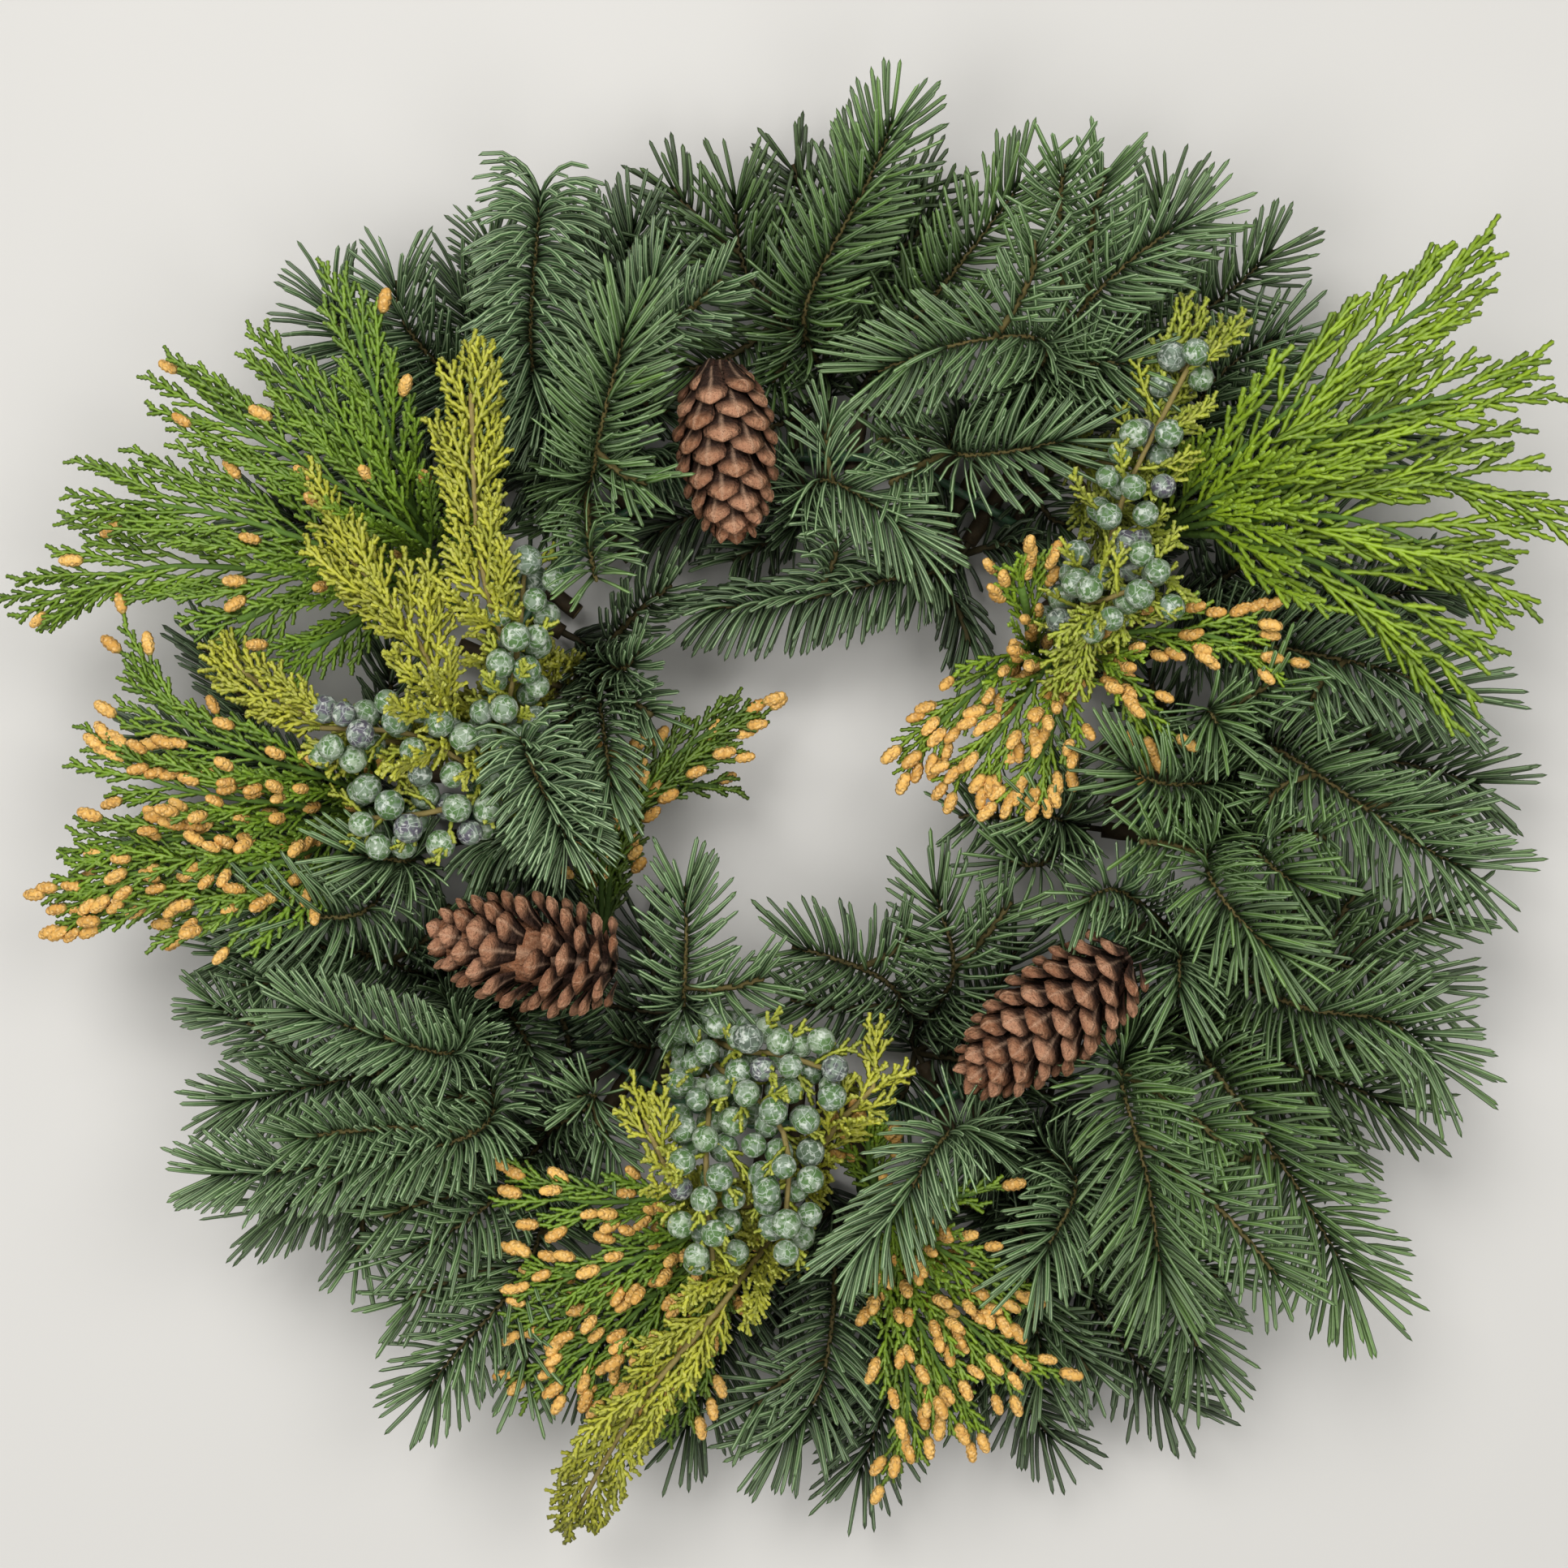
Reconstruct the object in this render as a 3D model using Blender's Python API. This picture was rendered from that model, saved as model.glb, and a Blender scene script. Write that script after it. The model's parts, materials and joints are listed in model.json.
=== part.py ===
"""A fresh evergreen candle ring: fir boughs, cedar sprays, berried juniper and pine cones on a clamp ring.

Metres, +Z up. The ring lies flat on its wire frame, with the candle's opening in the middle.
The tables give places in millimetres from the middle of the wire ring. +Y is its top, looked down on.
"""

import math
import random
from collections import namedtuple

import bmesh
import bpy
import numpy as np
from mathutils import Matrix, Vector
from mathutils.bvhtree import BVHTree
from mathutils.kdtree import KDTree

MM = 0.001
SEED = 7
OBJECT_NAME = "candle_ring"

# The wire ring's middle, from the middle of the whole outline: the foliage reaches further left and down
RING_CENTRE = (0.0123, 0.0070, 0.0)

# Gap between pieces that touch, and the least between stems and needles that only pass each other
SEAT = 0.0003
GAP = 0.0003
# Triangles lower than this are swapped for better ones where solids are joined
SLIVER = 0.000001
SLIVER_ROUNDS = 3
STEM_ROOM = 0.0026
FLOOR_ROOM = 0.0010

# Wire frame: an eight-inch ring of heavy wire with a staple welded over each clamp's stems
RING_RADIUS = 0.102
WIRE_RADIUS = 0.0026
RING_SIDES = 6
RING_STEPS = 32
WIRE_HEIGHT = WIRE_RADIUS * math.cos(math.pi / RING_SIDES)
CLAMP_COUNT = 12
CLAMP_SPREAD = 11.5
STAPLE_RADIUS = 0.0013

# Cut stems under a clamp: two rows of four, side by side, across the ring
SLOT_ANGLES = (-7.5, -2.5, 2.5, 7.5)
BUTT_RADIUS = 0.0033
BUTT_SIDES = 4
BUTT_HALF_HEIGHT = BUTT_RADIUS * math.cos(math.pi / BUTT_SIDES)
ROOT_INNER, ROOT_OUTER = 0.089, 0.115
LOWER_ROW = 2 * WIRE_HEIGHT + SEAT + BUTT_HALF_HEIGHT
UPPER_ROW = LOWER_ROW + 2 * BUTT_HALF_HEIGHT + SEAT
STAPLE_HEIGHT = UPPER_ROW + BUTT_HALF_HEIGHT + SEAT + STAPLE_RADIUS
FORK = 0.55
LEAD = 0.009
SIDE_STEP = 0.006
SIDE_LATEST = 0.45

# Shoots: a slim three-sided stem that narrows to its tip
FORK_RADIUS = 0.0021
SHOOT_RADIUS = {"fir": 0.0017, "cedar": 0.0013, "juniper": 0.0014, "berry": 0.0013}
TIP_RADIUS = 0.0010
NARROWING = 0.040
BARE_STEP = 0.015
WHORL_BAND = 0.0022
WHORL_TURN = math.radians(33)

# Bending the stems clear of each other
SAMPLE = 0.004
SETTLE_ROUNDS = 110
SOFTENING = 3
PLAN_GIVE = 0.35
MOST_PUSH = 0.002
ROOT_EASE = 0.025

# What grows from a shoot: the step between whorls, how much of the shoot bears them, and how much of a
# needle's length the last ones reach past the stem
WHORL_STEP = {"fir": 0.0300, "cedar": 0.0200, "juniper": 0.0200, "berry": 0.0160}
DRESSED_PART = {"fir": 0.74, "cedar": 0.70, "juniper": 0.68, "berry": 0.60}
MOST_DRESSED = 0.105
PAST_TIP = {"fir": 0.62, "cedar": 0.60, "juniper": 0.55, "berry": 0.2}
TIP_LEAN = 0.45
FORWARD = {"fir": 52, "cedar": 33, "juniper": 40, "berry": 75}

# A needle stands in for rods, each from one part of its length to another and with its own radius
NEEDLE_RODS = ((0.08, 0.35, 0.0016), (0.35, 0.70, 0.0011), (0.70, 1.0, 0.0006))
SHORTER = (1.0, 0.75, 0.55, 0.4)
BENDS = ((0, 0), (12, 0), (-12, 0), (0, 15), (0, -15), (24, 8), (-24, 8), (24, -12), (-24, -12), (0, 28))

# Pollen cones at the ends of cedar twigs, and juniper berries
CATKIN_LENGTH = 0.0078
CATKIN_RADIUS = 0.0020
CATKIN_NECK = 0.0006
CATKIN_BELLY = 0.55
BERRY_RADIUS = 0.0042
BERRY_SINK = 0.55
BERRY_UP = 0.45

# Pine cones
CONE_SIDES = 8
CONE_RINGS = 8
CONE_CORE = 0.74
SCALE_SHRINK = 0.90
SCALE_SLIDE = 0.0016
SCALE_LIFT = 0.0012
PICK_RADIUS = 0.0009

# The room in the middle that stems and needles leave for a candle
OPENING_LOW = (-0.013, -0.024)
OPENING_HIGH = (0.030, 0.034)

# Colour, roughness and metallic value of each kind of piece
LOOKS = {
    "fir": ((0.055, 0.130, 0.075), 0.55, 0.0),
    "cedar": ((0.130, 0.260, 0.030), 0.55, 0.0),
    "juniper": ((0.330, 0.340, 0.060), 0.60, 0.0),
    "berry": ((0.190, 0.270, 0.270), 0.65, 0.0),
    "cone": ((0.250, 0.120, 0.065), 0.70, 0.0),
    "wire": ((0.060, 0.100, 0.060), 0.45, 0.28),
}

# A shoot passes its points and ends at the last, where its needles' tips are. needle is their length in mm
# and forward the angle between a needle and the shoot.
Shoot = namedtuple("Shoot", "points needle forward")
# A bough lies in one slot of one clamp and faces "out" or "in". Its shoots fork under the clamp. fruit is
# the share of its twigs that end in a pollen cone or a berry.
Bough = namedtuple("Bough", "name kind clamp slot facing shoots fruit", defaults=(0.0,))
Cone = namedtuple("Cone", "name base tip radius pick_angle")


def shoot(*points, needle=21, forward=None):
    return Shoot(points, needle, forward)


def fir(number, clamp, slot, facing, *shoots):
    return Bough(f"fir_bough_{number:02d}", "fir", clamp, slot, facing, shoots)


# Clamps are numbered counterclockwise from +X, 30 degrees apart
BOUGHS = (
    fir(1, 3, 5, "out",
        shoot((-2, 140, 44), (18, 179, 56), (28, 205, 58), needle=22),
        shoot((8, 160, 24), (20, 200, 22)),
        shoot((-20, 156, 28), (-22, 190, 30))),
    fir(2, 3, 4, "out", shoot((39, 148, 46), (54, 167, 50), (68, 187, 50))),
    fir(3, 3, 6, "in", shoot((2, 90, 52), (20, 80, 62), (38, 62, 58))),
    fir(4, 2, 6, "out",
        shoot((76, 136, 66), (94, 153, 74), (118, 168, 72), needle=20),
        shoot((66, 126, 72), (42, 125, 82), (6, 113, 80)),
        shoot((80, 122, 64), (104, 117, 66))),
    fir(5, 2, 7, "out", shoot((40, 98, 52), (59, 97, 66), (86, 104, 64))),
    fir(6, 2, 5, "in", shoot((26, 63, 36), (-5, 56, 38), (-42, 53, 34), needle=18, forward=70)),
    fir(7, 2, 1, "out",
        shoot((100, 150, 26), (107, 188, 28)),
        shoot((122, 146, 34), (143, 168, 34), needle=18)),
    fir(8, 1, 3, "out",
        shoot((127, 96, 20), (164, 104, 24), (190, 108, 24), needle=19),
        shoot((118, 120, 34), (150, 140, 38))),
    fir(9, 1, 1, "out",
        shoot((141, 51, 18), (179, 60, 22), (204, 62, 22), needle=19),
        shoot((136, 72, 26), (168, 82, 28))),
    fir(10, 1, 4, "out", shoot((132, 43, 38), (172, 34, 44), (200, 20, 42), needle=23)),
    fir(11, 0, 3, "out",
        shoot((150, 14, 22), (192, 4, 28), (210, -5, 28)),
        shoot((140, 10, 42), (176, -16, 54), (203, -28, 50), needle=23)),
    fir(12, 0, 6, "out",
        shoot((112, 2, 50), (94, 4, 66), (80, 18, 62)),
        shoot((114, 24, 54), (122, 6, 62), needle=18)),
    fir(13, 0, 5, "out",
        shoot((112, -22, 66), (126, -42, 76), (144, -49, 72)),
        shoot((132, -22, 60), (150, -33, 62))),
    fir(14, 0, 4, "in", shoot((72, -8, 44), (54, -4, 58), needle=18), shoot((66, -22, 40), (45, -14, 44))),
    fir(15, 11, 7, "out",
        shoot((106, -48, 54), (106, -72, 58)),
        shoot((86, -28, 60), (72, -46, 70), needle=18)),
    fir(16, 11, 3, "out",
        shoot((160, -52, 34), (194, -64, 36), needle=23),
        shoot((140, -62, 48), (170, -68, 52), (188, -92, 48), needle=23)),
    fir(17, 11, 1, "out",
        shoot((141, -81, 28), (166, -90, 30), (186, -99, 28)),
        shoot((119, -84, 48), (139, -113, 56), (164, -156, 50), needle=25)),
    fir(18, 11, 4, "out", shoot((88, -80, 60), (94, -110, 78), (100, -153, 72), needle=25)),
    fir(19, 10, 6, "out", shoot((76, -112, 56), (66, -130, 68), (56, -146, 64))),
    fir(20, 10, 7, "out", shoot((106, -146, 40), (118, -180, 38))),
    fir(21, 10, 1, "out",
        shoot((89, -160, 18), (118, -193, 20)),
        shoot((62, -176, 18), (80, -203, 18), needle=19),
        shoot((64, -146, 32), (72, -186, 36))),
    fir(22, 10, 5, "out", shoot((40, -96, 66), (22, -118, 82), (4, -135, 78), forward=62)),
    fir(23, 10, 4, "in",
        shoot((42, -52, 38), (31, -17, 44), needle=20),
        shoot((22, -56, 34), (0, -47, 40), (-18, -44, 40), needle=20, forward=64)),
    fir(24, 9, 2, "out",
        shoot((24, -165, 22), (19, -192, 24), (8, -214, 24)),
        shoot((6, -158, 36), (-1, -182, 40), (-22, -198, 36))),
    fir(25, 9, 0, "out",
        shoot((-26, -165, 20), (-44, -203, 22)),
        shoot((-50, -152, 18), (-77, -184, 20))),
    fir(26, 8, 0, "out",
        shoot((-82, -137, 38), (-104, -164, 46), (-119, -184, 42))),
    fir(27, 8, 4, "out",
        shoot((-96, -122, 44), (-128, -140, 46)),
        shoot((-130, -112, 34), (-171, -130, 34)),
        shoot((-62, -88, 52), (-78, -90, 60), needle=18)),
    fir(28, 8, 6, "in", shoot((-37, -62, 48), (-36, -41, 58), (-37, -16, 58), needle=18)),
    fir(29, 7, 6, "out",
        shoot((-92, -94, 58), (-129, -105, 68), (-184, -110, 62)),
        shoot((-110, -78, 42), (-148, -86, 48), (-183, -94, 44))),
    fir(30, 7, 5, "out",
        shoot((-100, -74, 64), (-125, -68, 72), (-158, -57, 66)),
        shoot((-141, -46, 36), (-184, -49, 38))),
    fir(31, 6, 2, "out",
        shoot((-165, -18, 22), (-206, -20, 24), needle=19),
        shoot((-160, 8, 24), (-198, 16, 30), (-208, 20, 32), needle=17)),
    fir(32, 6, 7, "out",
        shoot((-132, -36, 54), (-178, -28, 60)),
        shoot((-116, -20, 58), (-144, -16, 64), needle=19)),
    fir(33, 6, 5, "in", shoot((-70, -14, 58), (-80, 10, 76), (-84, 26, 80), needle=18, forward=100)),
    fir(34, 5, 5, "in",
        shoot((-60, 16, 50), (-56, -14, 62), needle=18, forward=60),
        shoot((-54, 36, 44), (-46, 50, 48), needle=17)),
    fir(35, 5, 0, "out",
        shoot((-140, 105, 16), (-168, 120, 18)),
        shoot((-148, 80, 16), (-174, 88, 16))),
    fir(36, 4, 3, "out",
        shoot((-134, 130, 32), (-142, 158, 36)),
        shoot((-100, 134, 26), (-104, 162, 28)),
        shoot((-118, 135, 40), (-120, 162, 44))),
    fir(37, 4, 6, "out", shoot((-80, 119, 54), (-78, 159, 66), (-75, 184, 66), needle=22, forward=100)),
    fir(38, 4, 1, "out",
        shoot((-54, 156, 28), (-50, 181, 30)),
        shoot((-52, 132, 46), (-39, 162, 50))),
    fir(39, 4, 7, "out", shoot((-64, 88, 58), (-59, 103, 78), (-48, 144, 84), needle=22)),
    Bough("cedar_spray_upper_left", "cedar", 5, 6, "out", (
        shoot((-112, 72, 58), (-150, 96, 72), (-190, 118, 68), needle=40),
        shoot((-120, 100, 62), (-128, 128, 72), (-131, 147, 70), needle=26),
        shoot((-140, 62, 54), (-190, 64, 58), (-231, 50, 50), needle=34)), 0.04),
    Bough("cedar_spray_lower_left", "cedar", 6, 6, "out", (
        shoot((-140, 4, 52), (-175, 16, 62), (-196, 40, 60), needle=28),
        shoot((-160, -12, 58), (-190, -14, 60), (-216, -18, 56), needle=28),
        shoot((-150, -30, 60), (-185, -32, 60), (-218, -34, 54), needle=24)), 0.16),
    Bough("cedar_spray_upper_right", "cedar", 1, 7, "out", (
        shoot((116, 92, 64), (150, 120, 78), (186, 147, 76), needle=26),
        shoot((120, 82, 60), (160, 92, 70), (206, 82, 70), needle=26),
        shoot((124, 72, 56), (154, 60, 64), (184, 32, 62), needle=30))),
    Bough("cedar_spray_inner_right", "cedar", 1, 5, "in", (
        shoot((62, 42, 46), (42, 24, 52), (26, 10, 48), needle=20),
        shoot((74, 34, 50), (66, 10, 56), (56, -6, 52), needle=20),
        shoot((92, 46, 52), (116, 44, 60), (134, 36, 58), needle=20)), 0.28),
    Bough("cedar_spray_lower_left_tip", "cedar", 9, 4, "out", (
        shoot((-40, -118, 46), (-66, -118, 56), (-88, -110, 54), needle=22),
        shoot((-36, -138, 44), (-62, -160, 50), (-82, -170, 46), needle=26),
        shoot((-30, -150, 40), (-36, -172, 46), (-42, -190, 42), needle=20)), 0.22),
    Bough("cedar_spray_lower_right", "cedar", 9, 7, "out", (
        shoot((32, -140, 46), (50, -158, 56), (66, -168, 52), needle=24),
        shoot((24, -150, 44), (28, -176, 50), (24, -198, 46), needle=22),
        shoot((30, -118, 50), (44, -116, 58), (54, -112, 56), needle=14)), 0.22),
    Bough("cedar_spray_inner_left", "cedar", 7, 7, "in", (
        shoot((-60, -14, 34), (-40, 10, 36), (-16, 26, 36), needle=24),
        shoot((-52, -8, 32), (-34, 2, 30), (-20, -2, 28), needle=14)), 0.16),
    Bough("juniper_spray_left", "juniper", 5, 7, "in", (
        shoot((-84, 38, 70), (-92, 66, 90), (-95, 122, 88), needle=22),
        shoot((-100, 18, 66), (-110, 42, 84), (-138, 76, 82), needle=26),
        shoot((-118, 14, 62), (-146, 24, 72), (-172, 42, 68), needle=18))),
    Bough("juniper_spray_lower", "juniper", 9, 5, "out", (
        shoot((-22, -142, 60), (-50, -176, 64), (-72, -217, 40), needle=20),
        shoot((-34, -116, 62), (-44, -100, 74), (-50, -84, 72), needle=16),
        shoot((6, -96, 66), (18, -82, 74), (14, -70, 70), needle=16))),
    Bough("juniper_spray_right", "juniper", 2, 4, "out", (
        shoot((92, 96, 60), (104, 118, 70), (118, 134, 68), needle=20),
        shoot((92, 66, 58), (80, 48, 70), (70, 30, 66), needle=22))),
    Bough("juniper_berries_left", "berry", 6, 4, "in", (
        shoot((-88, 14, 58), (-84, 34, 76), (-80, 66, 80), needle=9),
        shoot((-94, 6, 62), (-112, 16, 76), (-140, 18, 74), needle=9),
        shoot((-92, 0, 60), (-108, -6, 72), (-130, -8, 68), needle=9)), 1.0),
    Bough("juniper_berries_lower", "berry", 8, 5, "in", (
        shoot((-26, -80, 56), (-8, -96, 76), (-8, -128, 78), needle=9),
        shoot((-22, -74, 58), (-10, -74, 72), (10, -80, 74), needle=9),
        shoot((-30, -86, 58), (-30, -104, 74), (-28, -134, 72), needle=9)), 1.0),
    Bough("juniper_berries_right", "berry", 1, 6, "in", (
        shoot((82, 60, 56), (88, 84, 74), (108, 124, 76), needle=9),
        shoot((78, 52, 58), (86, 54, 76), (100, 62, 78), needle=9)), 1.0),
)

CONES = (
    Cone("pine_cone_top", (-26, 116, 66), (-22, 70, 62), 14.5, 105.0),
    Cone("pine_cone_left", (-56, -50, 70), (-110, -40, 66), 17.5, 224.0),
    Cone("pine_cone_right", (88, -48, 70), (42, -84, 64), 16.5, 315.0),
)


def clear_scene():
    for obj in list(bpy.data.objects):
        bpy.data.objects.remove(obj)


def collection(name):
    made = bpy.data.collections.new(name)
    bpy.context.scene.collection.children.link(made)
    return made


def material(kind):
    name = f"{kind}_material"
    if name in bpy.data.materials:
        return bpy.data.materials[name]
    colour, roughness, metallic = LOOKS[kind]
    made = bpy.data.materials.new(name)
    made.use_nodes = True
    shader = made.node_tree.nodes["Principled BSDF"]
    shader.inputs["Base Color"].default_value = (*colour, 1.0)
    shader.inputs["Roughness"].default_value = roughness
    shader.inputs["Metallic"].default_value = metallic
    return made


def polar(radius, degrees, height):
    angle = math.radians(degrees)
    return np.array((radius * math.cos(angle), radius * math.sin(angle), height))


def unit(vector):
    return vector / (np.linalg.norm(vector) + 1e-12)


# Smooth paths


def lengths_along(points):
    return np.concatenate([[0.0], np.cumsum(np.linalg.norm(np.diff(points, axis=0), axis=1))])


def at_lengths(points, wanted):
    along = lengths_along(points)
    return np.stack([np.interp(wanted, along, points[:, axis]) for axis in range(3)], axis=-1)


def smooth_path(controls, left_off):
    """Points SAMPLE apart on a Catmull-Rom curve through the controls, stopping left_off before its end."""
    ends = [2 * controls[0] - controls[1], *controls, 2 * controls[-1] - controls[-2]]
    fine = []
    for a, b, c, d in zip(ends, ends[1:], ends[2:], ends[3:]):
        for t in np.linspace(0, 1, 24, endpoint=False):
            bend = (2 * a - 5 * b + 4 * c - d) * t**2 + (3 * b - a - 3 * c + d) * t**3
            fine.append(0.5 * (2 * b + (c - a) * t + bend))
    fine = np.array([*fine, controls[-1]])
    total = lengths_along(fine)[-1] - left_off
    return at_lengths(fine, np.linspace(0, total, max(4, round(total / SAMPLE) + 1)))


class Stem:
    """The centre line of one shoot, from inside its bough's cut stem or from its fork off the parent."""

    def __init__(self, bough, spec, path, number, parent=None, fork=0.0):
        self.bough, self.spec, self.path, self.number = bough, spec, path, number
        self.parent, self.fork, self.forks = parent, fork, []
        self.held = 0.0 if parent else (ROOT_OUTER - ROOT_INNER) * (1 - FORK)
        self.total = lengths_along(path)[-1]

    def moved(self, shift):
        self.path = self.path + shift
        self.total = lengths_along(self.path)[-1]

    def follow_parent(self):
        """Brings a side shoot's first stretch back to its fork, once its parent has moved."""
        shift = self.parent.at(self.fork) - self.path[0]
        fade = np.clip(1 - lengths_along(self.path) / ROOT_EASE, 0, 1)
        self.moved(shift * fade[:, None])

    def radius_at(self, along):
        slim = SHOOT_RADIUS[self.bough.kind]
        return np.interp(along, (0.0, NARROWING, self.total), (FORK_RADIUS, slim, TIP_RADIUS))

    def radii(self):
        return self.radius_at(lengths_along(self.path))

    def at(self, along):
        return at_lengths(self.path, along)

    def tangent_at(self, along):
        return unit(self.at(along + SAMPLE / 4) - self.at(along - SAMPLE))


def butt_ends(bough):
    """The two ends of the cut stem that a clamp holds, cut end first."""
    degrees = 360 / CLAMP_COUNT * bough.clamp + SLOT_ANGLES[bough.slot % len(SLOT_ANGLES)]
    height = (LOWER_ROW, UPPER_ROW)[bough.slot // len(SLOT_ANGLES)]
    inner, outer = polar(ROOT_INNER, degrees, height), polar(ROOT_OUTER, degrees, height)
    return (inner, outer) if bough.facing == "out" else (outer, inner)


def lay_stems():
    stems = []
    for bough in BOUGHS:
        cut_end, mouth = butt_ends(bough)
        parent = None
        for order, spec in enumerate(bough.shoots):
            points = [np.array(point) * MM for point in spec.points]
            reach = PAST_TIP[bough.kind] * spec.needle * MM
            if parent is None:
                start = [cut_end * (1 - FORK) + mouth * FORK, mouth, mouth + unit(mouth - cut_end) * LEAD]
                parent = Stem(bough, spec, smooth_path(start + points, reach), len(stems))
                stems.append(parent)
                continue
            fork = min(parent.held + LEAD + SIDE_STEP * order, parent.total * SIDE_LATEST)
            path = smooth_path([parent.at(fork), *points], reach)
            stems.append(Stem(bough, spec, path, len(stems), parent, fork))
            parent.forks.append(fork)
    return stems


# Rods stand in for pieces where room is measured. owner names the bough whose cut stem a rod is.

Rod = namedtuple("Rod", "start end radius owner", defaults=("",))


def path_rods(points, radii):
    return [Rod(a, b, max(r, s)) for a, b, r, s in zip(points, points[1:], radii, radii[1:])]


def frame_rods():
    angles = np.linspace(0, 360, RING_STEPS + 1)
    ring = [polar(RING_RADIUS, angle, WIRE_HEIGHT) for angle in angles]
    rods = path_rods(ring, [WIRE_RADIUS] * len(ring))
    for clamp in range(CLAMP_COUNT):
        staple = staple_path(clamp)
        rods += path_rods(staple, [STAPLE_RADIUS] * len(staple))
    return rods


def cone_rods(cone):
    base, tip = np.array(cone.base) * MM, np.array(cone.tip) * MM
    points = [base + (tip - base) * share for share in np.linspace(0.08, 0.92, 6)]
    swell = [0.86, 1.0, 1.0, 0.94, 0.80, 0.62]
    return path_rods(points, [cone.radius * MM * share for share in swell])


def nearest_index(points):
    tree = KDTree(len(points))
    for i, point in enumerate(points):
        tree.insert(point, i)
    tree.balance()
    return tree


def settle(stems, fixed):
    """Bends stems of different boughs clear of each other and of the fixed rods, mostly up and down."""
    marks = []
    for rod in fixed:
        run = rod.end - rod.start
        steps = max(2, round(np.linalg.norm(run) / SAMPLE) + 1)
        marks += [(rod.start + run * share, rod) for share in np.linspace(0, 1, steps)]
    fixed_tree = nearest_index([place for place, rod in marks])
    widest = max(rod.radius for rod in fixed)
    give = np.array((PLAN_GIVE, PLAN_GIVE, 1.0))
    ease = np.concatenate([np.clip((lengths_along(s.path) - s.held) / ROOT_EASE, 0, 1) for s in stems])
    owner = np.concatenate([[s.number] * len(s.path) for s in stems])
    names = [s.bough.name for s in stems]
    for _ in range(SETTLE_ROUNDS):
        where = np.concatenate([s.path for s in stems])
        radii = np.concatenate([s.radii() for s in stems])
        tree = nearest_index(where)
        push = np.zeros_like(where)
        for i, point in enumerate(where):
            if ease[i] == 0:
                continue
            for other, j, distance in tree.find_range(point, 2 * FORK_RADIUS + STEM_ROOM):
                need = radii[i] + radii[j] + STEM_ROOM
                if names[owner[j]] != names[owner[i]] and distance < need:
                    away = (point - np.array(other)) * give + (0, 0, 1e-5 * (owner[i] - owner[j]))
                    push[i] += unit(away) * (need - distance) * 0.6
            for other, j, distance in fixed_tree.find_range(point, widest + FORK_RADIUS + STEM_ROOM):
                rod = marks[j][1]
                need = radii[i] + rod.radius + STEM_ROOM * 0.5
                if distance < need and rod.owner != names[owner[i]]:
                    push[i] += unit((point - np.array(other)) * give) * (need - distance) * 0.7
        first = 0
        for stem in stems:
            count = len(stem.path)
            eased = push[first : first + count] * ease[first : first + count, None]
            own = np.pad(eased, ((SOFTENING, SOFTENING), (0, 0)), mode="edge")
            soft = sum(own[k : k + count] for k in range(2 * SOFTENING + 1)) / (SOFTENING + 1)
            stem.moved(np.clip(soft, -MOST_PUSH, MOST_PUSH) * ease[first : first + count, None])
            low = np.where(ease[first : first + count] > 0, FLOOR_ROOM + 2 * FORK_RADIUS, 0)
            stem.path[:, 2] = np.maximum(stem.path[:, 2], low)
            first += count
        for stem in stems:
            if stem.parent:
                stem.follow_parent()


STEM, BASE, OUTER = range(3)


class Room:
    """The room that pieces fill, as rods that know their shoot, their whorl and what they are."""

    def __init__(self, most=40000):
        self.start, self.end = np.zeros((most, 3)), np.zeros((most, 3))
        self.radius = np.zeros(most)
        self.shoot, self.whorl, self.part = (np.zeros(most, int) for _ in range(3))
        self.count = 0

    def add(self, rod, shoot_number, whorl, part):
        i = self.count
        self.start[i], self.end[i], self.radius[i] = rod[:3]
        self.shoot[i], self.whorl[i], self.part[i] = shoot_number, whorl, part
        self.count += 1

    def near(self, centre, reach):
        """The indices of the rods that could come within reach of the centre."""
        start, end = self.start[: self.count], self.end[: self.count]
        half = np.linalg.norm(end - start, axis=1) / 2
        far = np.linalg.norm((start + end) / 2 - centre, axis=1) - half - self.radius[: self.count]
        return np.flatnonzero(far < reach)

    def clear(self, rod, part, shoot_number, whorl, nearby):
        """Whether the rod keeps the gap to the nearby rods, to the surface below and to the opening."""
        if min(rod.start[2], rod.end[2]) < rod.radius + FLOOR_ROOM or in_opening(rod):
            return False
        own = self.shoot[nearby] == shoot_number
        same_whorl = self.whorl[nearby] == whorl
        joined = self.part[nearby] == STEM
        joined |= same_whorl & ((part == BASE) | (self.part[nearby] == BASE))
        others = nearby[~(own & joined)]
        if not len(others):
            return True
        apart = rod_distances(rod.start, rod.end, self.start[others], self.end[others])
        return bool((apart > self.radius[others] + rod.radius + GAP).all())


def in_opening(rod):
    low, high = np.array(OPENING_LOW) - rod.radius, np.array(OPENING_HIGH) + rod.radius
    points = rod.start + (rod.end - rod.start) * np.linspace(0, 1, 5)[:, None]
    return bool(((points[:, :2] > low) & (points[:, :2] < high)).all(axis=1).any())


def rod_distances(start, end, starts, ends):
    """The distances from one segment to each of several."""
    u, v, w = end - start, ends - starts, starts - start
    a, b, c = u @ u + 1e-15, v @ u, (v * v).sum(1) + 1e-15
    d, e = w @ u, (v * w).sum(1)
    s = np.clip((d * c - b * e) / np.maximum(a * c - b * b, 1e-18), 0, 1)
    t = np.clip((b * s - e) / c, 0, 1)
    s = np.clip((b * t + d) / a, 0, 1)
    t = np.clip((b * s - e) / c, 0, 1)
    return np.linalg.norm(w - s[:, None] * u + t[:, None] * v, axis=1)


# Solids


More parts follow.
